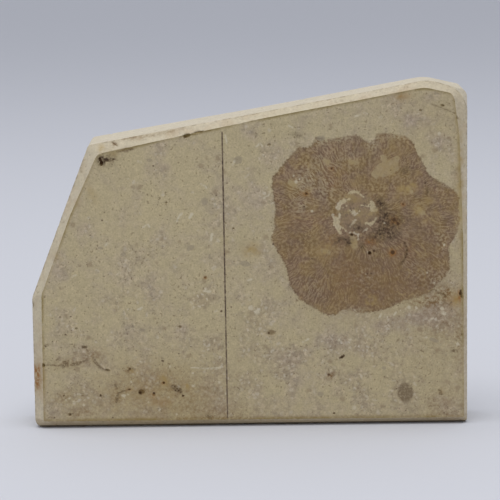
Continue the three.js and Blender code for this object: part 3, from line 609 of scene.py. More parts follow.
def buildSlab():
    outlines = slabOutlines()
    rings = slabRings(outlines)
    ringCount, count = rings.shape[:2]
    edge = rings[0][:, [0, 2]]
    backEdge = rings[-1][:, [0, 2]]
    inside = polishedFacePoints(edge)
    backGrid = hexGrid(low.x, high.x, 0, high.z, slabShape["backStep"])
    backGrid = backGrid[outlineDistance(backGrid, backEdge) > 0.5 * slabShape["backStep"]]
    # the mesh has the points of the rings, then those inside the face, then those inside the back
    points = np.concatenate([
        rings.reshape(-1, 3),
        np.insert(inside, 1, low.y, axis=1),
        np.insert(backGrid, 1, high.y, axis=1),
    ])
    sunk = sinkPits(points)
    lastRing = (ringCount - 1) * count
    polygons = [[v if v < count else lastRing + v for v in triangle]
                for triangle in triangulate(edge, inside)]
    zones = ["face"] * len(polygons)
    polygons += [[lastRing + v if v < count else lastRing + len(inside) + v for v in triangle[::-1]]
                 for triangle in triangulate(backEdge, backGrid)]
    zones += ["back"] * (len(polygons) - len(zones))
    columns = [0] * len(polygons)
    bevelRings = len(slabShape["bevelRings"]) - 1
    for ring in range(ringCount - 1):
        near, far = ring * count, (ring + 1) * count
        polygons += [[near + spot, far + spot, far + (spot + 1) % count, near + (spot + 1) % count]
                     for spot in range(count)]
        zones += ["bevel" if ring < bevelRings else "edge"] * count
        columns += range(count)
    mesh = bpy.data.meshes.new("sponge_slab_stone")
    mesh.from_pydata((points * mm).tolist(), [], polygons)
    mesh.validate()
    zoneNumbers = mesh.attributes.new("zone", "INT", "FACE")
    zoneNumbers.data.foreach_set("value", [slabZones.index(zone) for zone in zones])
    mesh.polygons.foreach_set("use_smooth", [True] * len(polygons))
    ridge = outlines["ridge"]
    lengths = np.linalg.norm(np.roll(ridge, -1, axis=0) - ridge, axis=1)
    widths = np.median(np.linalg.norm(np.diff(rings, axis=0), axis=2), axis=1)
    perimeter, ringPlaces = (np.append(0, np.cumsum(spans)) for spans in (lengths, widths))
    bakeMap(mesh, zones, columns, ringPlaces, perimeter)
    paintMarks(mesh, points, sunk, edge)
    return mesh


def paintMarks(mesh, points, sunk, edge):
    # numbers that the materials read at each point of the mesh
    flat = points[:, [0, 2]]
    onBack = points[:, 1] > high.y - 1
    centre, behind = spongeMarks["centre"], spongeMarks["behind"]
    # the sponge narrows towards the back of the slab, seen there a little smaller and lower
    throughSlab = np.where(onBack[:, None], (flat - behind["centre"]) / behind["scale"] + centre, flat)
    reach, sharpness = stoneMarks["ovalEdge"]
    marks = {
        "sunk": sunk,
        "rim": np.abs(outlineDistance(flat, edge)),
        "topRim": pathDistance(flat, [corner["face"][:2] for corner in slabCorners[4:9]]),
        "spongeEdge": outlineDistance(throughSlab, spongeMarks["outline"]),
        "hollow": spongeMarks["hollowRadius"] - np.hypot(*(flat - centre).T),
        "clast": 1 - np.min([ovalPlace(flat, *clast) for clast in stoneMarks["clast"]], axis=0),
        "oval": np.clip(sharpness * (reach - ovalPlace(flat, *stoneMarks["oval"])), 0, 1),
    }
    for name in ("paleWall", "curl", "mudFill"):
        marks[name] = strokeDistance(flat, spongeMarks[name])
    for name in ("seam", "shell"):
        marks[name] = strokeDistance(flat, stoneMarks[name])
    for name in ("darkGrain", "paleGrain"):
        marks[name] = strokeDistance(flat, [(wide, [(x, z)] * 2) for x, z, wide in stoneMarks[name]])
    marks.update({name: cloudStrength(flat, clouds) for name, clouds in stains.items()})
    for name, values in marks.items():
        attribute = mesh.attributes.new(name, "FLOAT", "POINT")
        attribute.data.foreach_set("value", values.astype(np.float32))


def markSharpEdges(mesh, angle):
    # edges between faces that turn by more than the angle
    normals = np.array([polygon.normal for polygon in mesh.polygons])
    sharp = np.zeros(len(mesh.edges), bool)
    keyOf = {key: i for i, key in enumerate(mesh.edge_keys)}
    firstFace = {}
    for index, polygon in enumerate(mesh.polygons):
        for key in polygon.edge_keys:
            if key in firstFace:
                together = normals[index] @ normals[firstFace[key]]
                sharp[keyOf[key]] = together < math.cos(math.radians(angle))
            else:
                firstFace[key] = index
    attribute = mesh.attributes.new("sharp_edge", "BOOLEAN", "EDGE")
    attribute.data.foreach_set("value", sharp)


# What the saw and the stone's own pores leave in the surfaces that aren't polished. The keys are
# the names of the inputs of the Geometry Nodes tree, in millimetres.
sawnSurface = {
    "poreSpacing": 4.5,
    "smallestPore": 0.6,
    "largestPore": 1.9,
    "poreDepth": 0.2,
    "sawMarkSpacing": 4.6,  # between the arcs that the blade left on the back
    "sawMarkDepth": 0.16,
    "bladeX": -60.0,  # the middle of the blade, seen from the front
    "bladeZ": 330.0,
    "seed": 7,
}


def sawnSurfaceTree(materials):
    # Geometry Nodes: pores and saw marks sunk into the rough faces, then a material for each zone
    tree = bpy.data.node_groups.new("sawnSurface", "GeometryNodeTree")
    tree.interface.new_socket("slab", in_out="INPUT", socket_type="NodeSocketGeometry")
    for name, value in sawnSurface.items():
        kind = "NodeSocketInt" if isinstance(value, int) else "NodeSocketFloat"
        tree.interface.new_socket(name, in_out="INPUT", socket_type=kind)
    tree.interface.new_socket("slab", in_out="OUTPUT", socket_type="NodeSocketGeometry")
    size = addNode(tree, "NodeGroupInput").node.outputs
    place = addNode(tree, "GeometryNodeInputPosition")
    place = addNode(tree, "ShaderNodeVectorMath", {0: place, "Scale": 1 / mm}, operation="SCALE")
    zone = addNode(tree, "GeometryNodeInputNamedAttribute", {"Name": "zone"}, data_type="INT")
    rough = addNode(
        tree, "FunctionNodeCompare", {2: zone, 3: 0}, data_type="INT", operation="GREATER_THAN")

    # lumps in mm of the noise that frays the pores, crowds the saw marks and deepens some of them
    fray, crowd, deepen = 0.9, 14, 6

    # pores: every point of the mesh sinks by how near it is to the pore beside it
    spacing = addNode(tree, "ShaderNodeMath", (size["poreSpacing"], mm), operation="MULTIPLY")
    apart = addNode(tree, "ShaderNodeMath", (spacing, 0.4), operation="MULTIPLY")
    density = addNode(tree, "ShaderNodeMath", (spacing, -2), operation="POWER")
    pores = addNode(tree, "GeometryNodeDistributePointsOnFaces", {
        "Mesh": size["slab"], "Selection": rough, "Distance Min": apart, "Density Max": density,
        "Seed": size["seed"]}, distribute_method="POISSON")
    nearest = addNode(tree, "GeometryNodeSampleNearest", {"Geometry": pores})
    porePlace = addNode(tree, "GeometryNodeSampleIndex", {
        "Geometry": pores, "Value": addNode(tree, "GeometryNodeInputPosition"), "Index": nearest},
        data_type="FLOAT_VECTOR")
    porePlace = addNode(
        tree, "ShaderNodeVectorMath", {0: porePlace, "Scale": 1 / mm}, operation="SCALE")
    width = addNode(tree, "FunctionNodeRandomValue", {
        2: size["smallestPore"], 3: size["largestPore"], "ID": nearest, "Seed": size["seed"]}, out=1)
    ragged = addNode(tree, "ShaderNodeTexNoise", {"Vector": place, "Scale": 1 / fray})
    gap = addNode(tree, "ShaderNodeVectorMath", (place, porePlace), out="Value", operation="DISTANCE")
    gap = addNode(tree, "ShaderNodeMath", (gap, ragged), operation="ADD")
    gap = addNode(tree, "ShaderNodeMath", (gap, 0.5), operation="SUBTRACT")
    reach = addNode(tree, "ShaderNodeMath", (width, 2), operation="DIVIDE")
    dip = addNode(
        tree, "ShaderNodeMapRange", (gap, 0, reach, size["poreDepth"], 0), interpolation_type="SMOOTHSTEP")
    dip = addNode(tree, "ShaderNodeMath", (dip, rough), operation="MULTIPLY")

    # saw marks: arcs round the middle of the blade, some cut deeper than others
    cut = addNode(tree, "ShaderNodeSeparateXYZ", (place,), out="Y")
    onBack = addNode(tree, "ShaderNodeMath", (cut, high.y - 0.01), operation="GREATER_THAN")
    blade = addNode(tree, "ShaderNodeCombineXYZ", {"X": size["bladeX"], "Y": cut, "Z": size["bladeZ"]})
    radius = addNode(tree, "ShaderNodeVectorMath", (place, blade), out="Value", operation="DISTANCE")
    drift = addNode(tree, "ShaderNodeTexNoise", {"W": radius, "Scale": 1 / crowd}, noise_dimensions="1D")
    turns = addNode(tree, "ShaderNodeMath", (radius, size["sawMarkSpacing"]), operation="DIVIDE")
    turns = addNode(tree, "ShaderNodeMath", (drift, 2, turns), operation="MULTIPLY_ADD")
    wave = addNode(tree, "ShaderNodeMath", (turns, math.tau), operation="MULTIPLY")
    wave = addNode(tree, "ShaderNodeMath", (wave,), operation="SINE")
    groove = addNode(tree, "ShaderNodeMapRange", (wave, -0.2, 1), interpolation_type="SMOOTHSTEP")
    bite = addNode(tree, "ShaderNodeTexNoise", {"W": radius, "Scale": 1 / deepen}, noise_dimensions="1D")
    bite = addNode(tree, "ShaderNodeMapRange", (bite, 0.35, 0.65))
    groove = addNode(tree, "ShaderNodeMath", (groove, bite), operation="MULTIPLY")
    groove = addNode(tree, "ShaderNodeMath", (groove, onBack), operation="MULTIPLY")
    depth = addNode(
        tree, "ShaderNodeMath", (groove, size["sawMarkDepth"], dip), operation="MULTIPLY_ADD")

    inward = addNode(tree, "ShaderNodeMath", (depth, -mm), operation="MULTIPLY")
    push = addNode(tree, "ShaderNodeVectorMath", {
        0: addNode(tree, "GeometryNodeInputNormal"), "Scale": inward}, operation="SCALE")
    slab = addNode(tree, "GeometryNodeSetPosition", {"Geometry": size["slab"], "Offset": push})
    sunk = addNode(tree, "GeometryNodeInputNamedAttribute", {"Name": "sunk"}, data_type="FLOAT")
    for name, value in (("sunk", addNode(tree, "ShaderNodeMath", (sunk, dip), operation="ADD")),
                        ("sawMark", groove)):
        slab = addNode(tree, "GeometryNodeStoreNamedAttribute", {
            "Geometry": slab, "Name": name, "Value": value}, data_type="FLOAT", domain="POINT")
    slab = addNode(tree, "GeometryNodeRealizeInstances", {"Geometry": slab})
    for number, name in enumerate(slabZones):
        chosen = addNode(
            tree, "FunctionNodeCompare", {2: zone, 3: number}, data_type="INT", operation="EQUAL")
        slab = addNode(tree, "GeometryNodeSetMaterial", {
            "Geometry": slab, "Selection": chosen, "Material": materials[name]})
    tree.links.new(slab, tree.nodes.new("NodeGroupOutput").inputs["slab"])
    return tree


def roughen(piece, tree):
    # run the tree on a piece once and keep the result as its plain mesh
    modifier = piece.modifiers.new("sawnSurface", "NODES")
    modifier.node_group = tree
    for item in tree.interface.items_tree:
        if item.in_out == "INPUT" and item.name in sawnSurface:
            modifier[item.identifier] = sawnSurface[item.name]
    depsgraph = bpy.context.evaluated_depsgraph_get()
    result = bpy.data.meshes.new_from_object(
        piece.evaluated_get(depsgraph), preserve_all_data_layers=True, depsgraph=depsgraph)
    piece.modifiers.remove(modifier)
    result.name = piece.name
    piece.data = result


def newMaterial(name, roughness, ior):
    material = bpy.data.materials.new(name)
    material.use_nodes = True
    shader = material.node_tree.nodes["Principled BSDF"]
    shader.inputs["Roughness"].default_value = roughness
    shader.inputs["IOR"].default_value = ior
    return material, material.node_tree, shader


def dressShader(tree, shader, colour, height, relief, strength):
    # a colour and a fine relief, so many millimetres deep and so strong
    bump = addNode(
        tree, "ShaderNodeBump", {"Height": height, "Distance": relief * mm, "Strength": strength})
    tree.links.new(colour, shader.inputs["Base Color"])
    tree.links.new(bump, shader.inputs["Normal"])


def placeInMm(tree):
    coordinates = addNode(tree, "ShaderNodeTexCoord", out="Object")
    return addNode(
        tree, "ShaderNodeMapping", {"Vector": coordinates, "Scale": (1 / mm, 1 / mm, 1 / mm)})


def markMask(tree, name, wobble, amount, start, end):
    # 0 below start and 1 above end of a mark, after noise has moved its border to and fro
    mark = addNode(tree, "ShaderNodeAttribute", out="Fac", attribute_name=name)
    shifted = addNode(tree, "ShaderNodeMath", (wobble, amount, -amount / 2), operation="MULTIPLY_ADD")
    moved = addNode(tree, "ShaderNodeMath", (mark, shifted), operation="ADD")
    return addNode(tree, "ShaderNodeMapRange", (moved, start, end), interpolation_type="SMOOTHSTEP")


def layered(tree, colour, layers):
    # colours laid over one another: each has its mask, its colour and how much of it shows;
    # a mask can be several masks that are multiplied
    for masks, over, share in layers:
        for mask in masks if isinstance(masks, tuple) else (masks,):
            share = addNode(tree, "ShaderNodeMath", (mask, share), operation="MULTIPLY")
        share.node.use_clamp = True
        layer = toLinear(over) if isinstance(over, str) else over
        colour = addNode(
            tree, "ShaderNodeMix", {0: share, 6: colour, 7: layer}, out=2, data_type="RGBA")
    return colour


def shaded(tree, place, colour, grains):
    # lighter and darker by noise: each grain has its lumps in mm, its detail and how much it counts
    total = 1 - sum(amount for _, _, amount in grains) / 2
    for lump, detail, amount in grains:
        grain = addNode(
            tree, "ShaderNodeTexNoise", {"Vector": place, "Scale": 1 / lump, "Detail": detail})
        total = addNode(tree, "ShaderNodeMath", (grain, amount, total), operation="MULTIPLY_ADD")
    return addNode(tree, "ShaderNodeVectorMath", {0: colour, "Scale": total}, operation="SCALE")


def grainsIn(tree, place, spacing, share, size, offset):
    # 1 on round grains strewn through the stone: mm apart, what share of them shows, mm wide
    moved = addNode(tree, "ShaderNodeVectorMath", (place, offset), operation="ADD")
    distance = addNode(
        tree, "ShaderNodeTexVoronoi", {"Vector": moved, "Scale": 1 / spacing}, out="Distance")
    cell = distance.node.outputs["Color"]
    chosen = addNode(tree, "ShaderNodeMath", (cell, share), operation="LESS_THAN")
    reach = 0.5 * size / spacing
    body = addNode(tree, "ShaderNodeMapRange", (distance, 1.2 * reach, 0.6 * reach))
    return addNode(tree, "ShaderNodeMath", (body, chosen), operation="MULTIPLY")


# The stone itself: fine lime mud with clay in it and a scatter of shell crumbs. A grain is its
# lumps in mm, its detail and how much it counts.
stoneFinish = {
    "olive": "#b7a883",  # lime mud with some clay
    "brown": "#ae9e88",  # where shell debris gathered
    "lean": (3.4, -0.5, 1.35),  # where brown takes over: noise, start and end
    "patch": 8,  # mm, how large the patches of debris are
    "patchNoise": (0.16, 0.49, 0.68),  # how much the debris clouds steer them, start and end
    "grain": [(24, 1, 0.1), (3.4, 2, 0.09), (1.4, 2, 0.26), (0.6, 1.5, 0.56)],
    "coarse": [(1.9, 3, 0.5), (0.8, 2, 0.5)],  # more of it among the debris
    "bits": 1.1,  # mm, broken bits of shell and mud, each a little lighter or darker
    "bitShares": (0.12, 0.38),  # how much they differ, outside and inside the patches
    "swirl": (1.4, 2),  # how the debris is stirred: lumps in mm and how far
    # colour and how much of it shows
    "crumb": ("#cdc2ab", 0.66),
    "between": ("#8a765a", 0.34),  # darker mud between the crumbs
    "speck": ("#6c5838", 0.6),
    "crumbSpacing": 1.5,  # mm between crumbs in a patch of debris
    "crumbSize": 1.3,  # mm
    "crumbShare": 0.5,
    "betweenStarts": (0.35, 0.6),  # spacings from the middle of a crumb to where mud starts, is full
    # from such a weak to such a strong cloud of debris, how much more or less both of them show
    "thickening": (0.2, 1.4, 0.5, 1.5),
    "speckLumps": 1.2,  # mm
    "speckCrowds": (11, 0.22),  # mm, how large the crowds of specks are, and how dense
    "speckStarts": (0.5, 0.41),  # noise at which a speck starts and is full
    # grains strewn through it: colour, how much it shows, mm apart, share, mm wide, shift
    "strewn": [
        ("crumb", 0.42, 3.8, 0.6, 1.7, (11, 3, 8)), ("between", 0.5, 4.4, 0.6, 2, (7, 1, 13)),
        ("speck", 0.42, 2.6, 0.5, 1.05, (5, 0, 2)), ("speck", 0.18, 1.2, 0.35, 0.6, (3, 9, 4)),
    ],
}


def stoneColour(tree, place):
    finish = stoneFinish
    patch = addNode(tree, "ShaderNodeTexNoise", {
        "Vector": place, "Scale": 1 / finish["patch"], "Detail": 4, "Roughness": 0.6})
    debris = addNode(tree, "ShaderNodeAttribute", out="Fac", attribute_name="debris")
    steer, start, end = finish["patchNoise"]
    gather = addNode(tree, "ShaderNodeMath", (debris, steer, patch), operation="MULTIPLY_ADD")
    litter = addNode(tree, "ShaderNodeMapRange", (gather, start, end), interpolation_type="SMOOTHSTEP")
    lean = markMask(tree, "mauve", patch, *finish["lean"])
    colour = layered(tree, toLinear(finish["olive"]), [(lean, finish["brown"], 1)])
    colour = shaded(tree, place, colour, finish["grain"])
    # patches of shell debris: bits and pale crumbs of all shapes with darker mud between them
    lump, far = finish["swirl"]
    swirl = addNode(
        tree, "ShaderNodeTexNoise", {"Vector": place, "Scale": 1 / lump, "Detail": 2}, out="Color")
    jumbled = addNode(
        tree, "ShaderNodeVectorMath", (swirl, (far, far, far), place), operation="MULTIPLY_ADD")
    bits = addNode(
        tree, "ShaderNodeTexVoronoi", {"Vector": jumbled, "Scale": 1 / finish["bits"]}, out="Color")
    outside, among = finish["bitShares"]
    bitShare = addNode(tree, "ShaderNodeMapRange", {0: litter, 3: outside, 4: among})
    bitTone = addNode(tree, "ShaderNodeMapRange", {0: bits, 3: -0.5, 4: 0.5})
    bitTone = addNode(tree, "ShaderNodeMath", (bitTone, bitShare, 1), operation="MULTIPLY_ADD")
    colour = addNode(tree, "ShaderNodeVectorMath", {0: colour, "Scale": bitTone}, operation="SCALE")
    spacing = finish["crumbSpacing"]
    distance = addNode(
        tree, "ShaderNodeTexVoronoi", {"Vector": jumbled, "Scale": 1 / spacing}, out="Distance")
    crumb = grainsIn(tree, jumbled, spacing, finish["crumbShare"], finish["crumbSize"], (0, 0, 0))
    # specks of iron and of black organic matter
    dark = addNode(tree, "ShaderNodeTexNoise", {
        "Vector": place, "Scale": 1 / finish["speckLumps"], "Detail": 2, "Roughness": 0.7})
    lump, dense = finish["speckCrowds"]
    crowd = addNode(tree, "ShaderNodeTexNoise", {"Vector": place, "Scale": 1 / lump, "Detail": 1})
    dark = addNode(tree, "ShaderNodeMath", (crowd, dense, dark), operation="MULTIPLY_ADD")
    between, thick, dark = (
        addNode(tree, "ShaderNodeMapRange", (value, *finish[name]))
        for value, name in ((distance, "betweenStarts"), (debris, "thickening"), (dark, "speckStarts")))
    pale, *dull = [(grainsIn(tree, jumbled, *grain), finish[tint][0], strength)
                   for tint, strength, *grain in finish["strewn"]]
    return layered(tree, colour, [
        (litter, shaded(tree, place, colour, finish["coarse"]), 1),
        ((between, litter, thick), *finish["between"]), ((crumb, litter, thick), *finish["crumb"]),
        pale, (dark, *finish["speck"]), *dull])


# The sponge: pale tubes in a dark body, with clay, iron and soot-black manganese in places.
spongeFinish = {
    "body": "#6b5238",
    "ochre": "#967c4b",
    "grey": "#846b58",
    "mineral": 0.42,  # how much of the ochre and the grey shows
    # colour and how much of it shows
    "tubes": ("#ab9571", 0.88),
    "calcite": ("#bbad8f", 0.8),  # tubes filled with calcite instead of mud
    "curl": ("#b19a6b", 0.6),
    "tubeWidth": 0.52,  # mm
    "tubeStep": 0.33,  # mm between the samples that draw the tubes out
    "tubeSamples": 7,
    "tubeEdge": (3.14, 3.92),  # sum of the samples where a tube starts and is full
    "swerve": 1.45,  # how far the tubes stray from a straight run outwards
    "swerveLumps": 3.6,  # mm
    "crossCut": 7.5,  # mm, how large the places are where the tubes are cut across
    "patch": 5,  # mm, how large the ochre patches are
    "raggedness": 1.4,  # mm, lumps of the noise that frays edges
    "grain": [(9, 2, 0.2), (3.2, 2, 0.36), (1.7, 2, 0.37), (0.8, 2, 0.2)],
    "hollowFill": "#8b755b",
    "hollowGrain": [(1.8, 2, 0.6), (0.8, 2, 0.8)],
    "hollowClay": ("#9b865d", 0.8),
    "hollowDark": ("#6b5a47", 0.75),
    "wall": "#bfaf8a",
    "wallStrength": 0.88,
    "wallGrey": ("#bcaf98", 0.8),
    "wallGrain": [(0.7, 2, 0.7)],
    # noise at which these start and are full
    "acrossStarts": (0.46, 0.62),
    "dotStarts": (0.42, 0.62),
    "patchStarts": (0.4, 0.62),
    "clayStarts": (0.46, 0.6),
    "darkStarts": (0.46, 0.34),
    # how far noise moves the edge of a mark, and where, in mm inside it, it starts and is full
    "hollowEdge": (2.4, -0.4, 0.9),
    "wallEdge": (2.1, -0.15, 0.35),
    "curlEdge": (0.8, -0.2, 0.2),
}


def spongeColour(tree, place):
    finish = spongeFinish
    cx, cz = spongeMarks["centre"]
    fromCentre = addNode(tree, "ShaderNodeVectorMath", (place, (cx, 0, cz)), operation="SUBTRACT")
    fromCentre = addNode(tree, "ShaderNodeVectorMath", (fromCentre, (1, 0, 1)), operation="MULTIPLY")
    outwards = addNode(tree, "ShaderNodeVectorMath", (fromCentre,), operation="NORMALIZE")
    swing = addNode(tree, "ShaderNodeTexNoise", {
        "Vector": place, "Scale": 1 / finish["swerveLumps"], "Detail": 1}, out="Color")
    swing = addNode(tree, "ShaderNodeVectorMath", (swing, (0.5, 0.5, 0.5)), operation="SUBTRACT")
    stray = (2 * finish["swerve"],) * 3
    heading = addNode(tree, "ShaderNodeVectorMath", (swing, stray, outwards), operation="MULTIPLY_ADD")
    heading = addNode(tree, "ShaderNodeVectorMath", (heading,), operation="NORMALIZE")
    # noise summed along that heading draws its lumps out into tubes
    samples = finish["tubeSamples"]
    total = 0
    for step in range(samples):
        reach = ((step - samples // 2) * finish["tubeStep"],) * 3
        spot = addNode(tree, "ShaderNodeVectorMath", (heading, reach, place), operation="MULTIPLY_ADD")
        sample = addNode(tree, "ShaderNodeTexNoise", {
            "Vector": spot, "Scale": 1 / finish["tubeWidth"], "Detail": 1})
        total = addNode(tree, "ShaderNodeMath", (sample, total), operation="ADD")
    start, full = finish["tubeEdge"]
    tubes = addNode(tree, "ShaderNodeMapRange", (total, start, full), interpolation_type="SMOOTHSTEP")
    across = addNode(tree, "ShaderNodeTexNoise", {"Vector": place, "Scale": 1 / finish["crossCut"]})
    dots = addNode(tree, "ShaderNodeTexNoise", {"Vector": place, "Detail": 1, "Scale": 1})
    patch = addNode(tree, "ShaderNodeTexNoise", {
        "Vector": place, "Scale": 1 / finish["patch"], "Detail": 4, "Roughness": 0.65})
    ragged = addNode(tree, "ShaderNodeTexNoise", {
        "Vector": place, "Scale": 1 / finish["raggedness"], "Detail": 3, "Roughness": 0.65})
    across, dots, ochre, clay, dark = (
        addNode(tree, "ShaderNodeMapRange", (value, *finish[name]))
        for value, name in ((across, "acrossStarts"), (dots, "dotStarts"), (patch, "patchStarts"),
                            (patch, "clayStarts"), (ragged, "darkStarts")))
    # in places the tubes are cut across and show as dots and blotches
    tubes = addNode(tree, "ShaderNodeMix", {0: across, 2: tubes, 3: dots}, data_type="FLOAT")
    tone = layered(tree, toLinear(finish["grey"]), [(ochre, finish["ochre"], 1)])
    calcite = addNode(tree, "ShaderNodeAttribute", out="Fac", attribute_name="calcite")
    colour = layered(tree, toLinear(finish["body"]), [
        (tubes, *finish["tubes"]), (finish["mineral"], tone, 1), ((calcite, tubes), *finish["calcite"])])
    colour = shaded(tree, place, colour, finish["grain"])
    # the hollow in the middle: mud and broken calcite
    fill = layered(tree, toLinear(finish["hollowFill"]), [
        (clay, *finish["hollowClay"]), (dark, *finish["hollowDark"])])
    fill = shaded(tree, place, fill, finish["hollowGrain"])
    wall = layered(tree, toLinear(finish["wall"]), [(across, *finish["wallGrey"])])
    wall = shaded(tree, place, wall, finish["wallGrain"])
    colour = layered(tree, colour, [
        (markMask(tree, "hollow", ragged, *finish["hollowEdge"]), fill, 1),
        (markMask(tree, "paleWall", ragged, *finish["wallEdge"]), wall, finish["wallStrength"]),
        (markMask(tree, "curl", ragged, *finish["curlEdge"]), *finish["curl"])])
    return colour, tubes


# Stains: colour, the lumps of its mottling in mm, how soft the mottling is, and its strength.
stainFinish = {
    "umber": ("#7b5e39", 0.9, 0.2, 0.9),
    "ochre": ("#a48b57", 2.4, 0.25, 0.8),
    "rust": ("#90632f", 1.2, 0.22, 0.85),
    "soot": ("#44311d", 0.9, 0.2, 0.8),
    "oval": ("#7d6b50", 0.8, 0.3, 0.88),
}


def stainLayers(tree, place, names):
    layers = []
    for name in names:
        colour, lump, softness, strength = stainFinish[name]
        cloud = addNode(tree, "ShaderNodeAttribute", out="Fac", attribute_name=name)
        mottle = addNode(tree, "ShaderNodeTexNoise", {
            "Vector": place, "Scale": 1 / lump, "Detail": 3, "Roughness": 0.6})
        spread = addNode(
            tree, "ShaderNodeMapRange", {0: mottle, 1: 0.5 - softness, 2: 0.5 + softness, 4: 2})
        layers.append(((cloud, spread), colour, strength))
    return layers


# What lies on and in the polished face: colour and how much of it shows.
faceFinish = {
    "border": ("#5b4729", 0.5),  # dark clots just inside the sponge's edge
    # brown in the pits, partly their own colour and partly painted shade, darker the deeper they go
    "pit": ("#75603a", 0.85),
    "rim": ("#8c7947", 1.6),  # dirt along the edge of the face
    "topRim": ("#75663f", 0.7),
    "ink": ("#483529", 0.95),
    "stoneInFaded": 0.85,  # how much stone shows where the sponge has faded
    "mudOchre": 0.35,  # how much ochre is in the mud that fills the sponge's gaps
    "mudStrength": 0.75,
    # where these start and are full, and for some how strong they are at least: the first three by
    # noise, the others by their distance or depth in mm
    "clotStarts": (0.42, 0.58),
    "wornStarts": (0.4, 0.56, 0.35),
    "dirtStarts": (0.4, 0.6, 0.3),
    "rimStarts": (1.1, 0.15),
    "topRimStarts": (0.7, 0.15),
    "pitStarts": (0.05, 0.6),
    # how far noise moves an edge, and where, in mm inside it, it starts and is full
    "spongeEdge": (1.5, 0.42, 1.15),
    "borderEdge": (1.5, 1.1, 1.7),
    "mudEdge": (2.2, -0.3, 0.4),
    "rough": 0.4,
    "pitRough": 0.9,
    "relief": (0.012, 0.6),  # mm deep, and its strength
}

# Its drawn marks: the same, then how far noise moves their edges, and how far inside the edge, in
# mm, they start and are full.
faceMarks = {
    "seam": ("#5f4a2d", 0.75, 1.2, -0.35, 0.35),
    "clast": ("#938670", 0.55, 0.8, -0.1, 0.2),
    "shell": ("#cbc0a3", 0.84, 0.9, -0.25, 0.2),
    "paleGrain": ("#c9bda0", 0.78, 1.2, 0.4, 1),
    "darkGrain": ("#452b0e", 0.88, 0.7, -0.14, 0.34),
}


def polishedSpongeLimestone():
    # limestone, cut and polished by hand: clear, slightly deepened colour and a soft sheen
    material, tree, shader = newMaterial("polishedSpongeLimestone", faceFinish["rough"], 1.55)
    shader.inputs["Specular IOR Level"].default_value = 0.25
    place = placeInMm(tree)
    stone = stoneColour(tree, place)
    sponge, tubes = spongeColour(tree, place)
    ragged, crumbly, patchy = (
        addNode(tree, "ShaderNodeTexNoise", {
            "Vector": place, "Scale": 1 / lump, "Detail": detail, "Roughness": roughness})
        for lump, detail, roughness in ((1.5, 3, 0.6), (0.8, 2, 0.6), (9, 2, 0.5)))
    torn = addNode(tree, "ShaderNodeMath", (ragged, crumbly), operation="ADD")
    faded, rim, topRim, sunk = (
        addNode(tree, "ShaderNodeAttribute", out="Fac", attribute_name=name)
        for name in ("faded", "rim", "topRim", "sunk"))
    clots, worn, dirty, rim, topRim, pit = (
        addNode(tree, "ShaderNodeMapRange", (value, *faceFinish[name]))
        for value, name in ((crumbly, "clotStarts"), (crumbly, "wornStarts"), (patchy, "dirtStarts"),
                            (rim, "rimStarts"), (topRim, "topRimStarts"), (sunk, "pitStarts")))
    inSponge = markMask(tree, "spongeEdge", torn, *faceFinish["spongeEdge"])
    inner = markMask(tree, "spongeEdge", torn, *faceFinish["borderEdge"])
    border = addNode(tree, "ShaderNodeMath", (inSponge, inner), operation="SUBTRACT")
    mud = markMask(tree, "mudFill", ragged, *faceFinish["mudEdge"])
    mudColour = layered(tree, stone, [(faceFinish["mudOchre"], spongeFinish["ochre"], 1)])
    marks = []
    for name, (tint, strength, *edge) in faceMarks.items():
        mask = markMask(tree, name, torn if name == "paleGrain" else ragged, *edge)
        marks.append(((mask, worn) if name == "seam" else mask, tint, strength))
    # the pit layer is partly painted shade in the hollows
    colour = layered(tree, stone, [
        (inSponge, sponge, 1), ((border, clots), *faceFinish["border"]),
        ((faded, clots), stone, faceFinish["stoneInFaded"]),
        ((mud, inSponge), mudColour, faceFinish["mudStrength"]), (pit, *faceFinish["pit"]),
        *stainLayers(tree, place, stainFinish), *marks,
        ((rim, dirty, ragged), *faceFinish["rim"]), ((topRim, dirty, ragged), *faceFinish["topRim"]),
        (inkMasks(tree, place, ragged), *faceFinish["ink"])])
    rough = addNode(tree, "ShaderNodeMapRange", {
        0: pit, 3: faceFinish["rough"], 4: faceFinish["pitRough"]})
    tree.links.new(rough, shader.inputs["Roughness"])
    height = addNode(tree, "ShaderNodeMath", (tubes, inSponge, ragged), operation="MULTIPLY_ADD")
    dressShader(tree, shader, colour, height, *faceFinish["relief"])
    return material


def inkMasks(tree, place, ragged):
    # a thin pen line from top to foot, a little worn
    line = stoneMarks["inkLine"]
    (topX, topZ), (footX, footZ) = line["top"], line["foot"]
    lean = (topX - footX) / (topZ - footZ)
    across = addNode(tree, "ShaderNodeSeparateXYZ", (place,), out="X")
    up = across.node.outputs["Z"]
    middle = addNode(tree, "ShaderNodeMath", (up, lean, footX - lean * footZ), operation="MULTIPLY_ADD")
    gap = addNode(tree, "ShaderNodeMath", (across, middle), operation="SUBTRACT")
    gap = addNode(tree, "ShaderNodeMath", (gap,), operation="ABSOLUTE")
    wide, blur = line["width"], line["blur"]
    return tuple(
        addNode(tree, "ShaderNodeMapRange", values) for values in (
            (gap, 0.7 * wide, 0.4 * wide), (ragged, *line["wornStarts"]), (up, *line["rubbedStarts"]),
            (up, topZ + blur, topZ - blur), (up, footZ - blur, footZ + blur)))


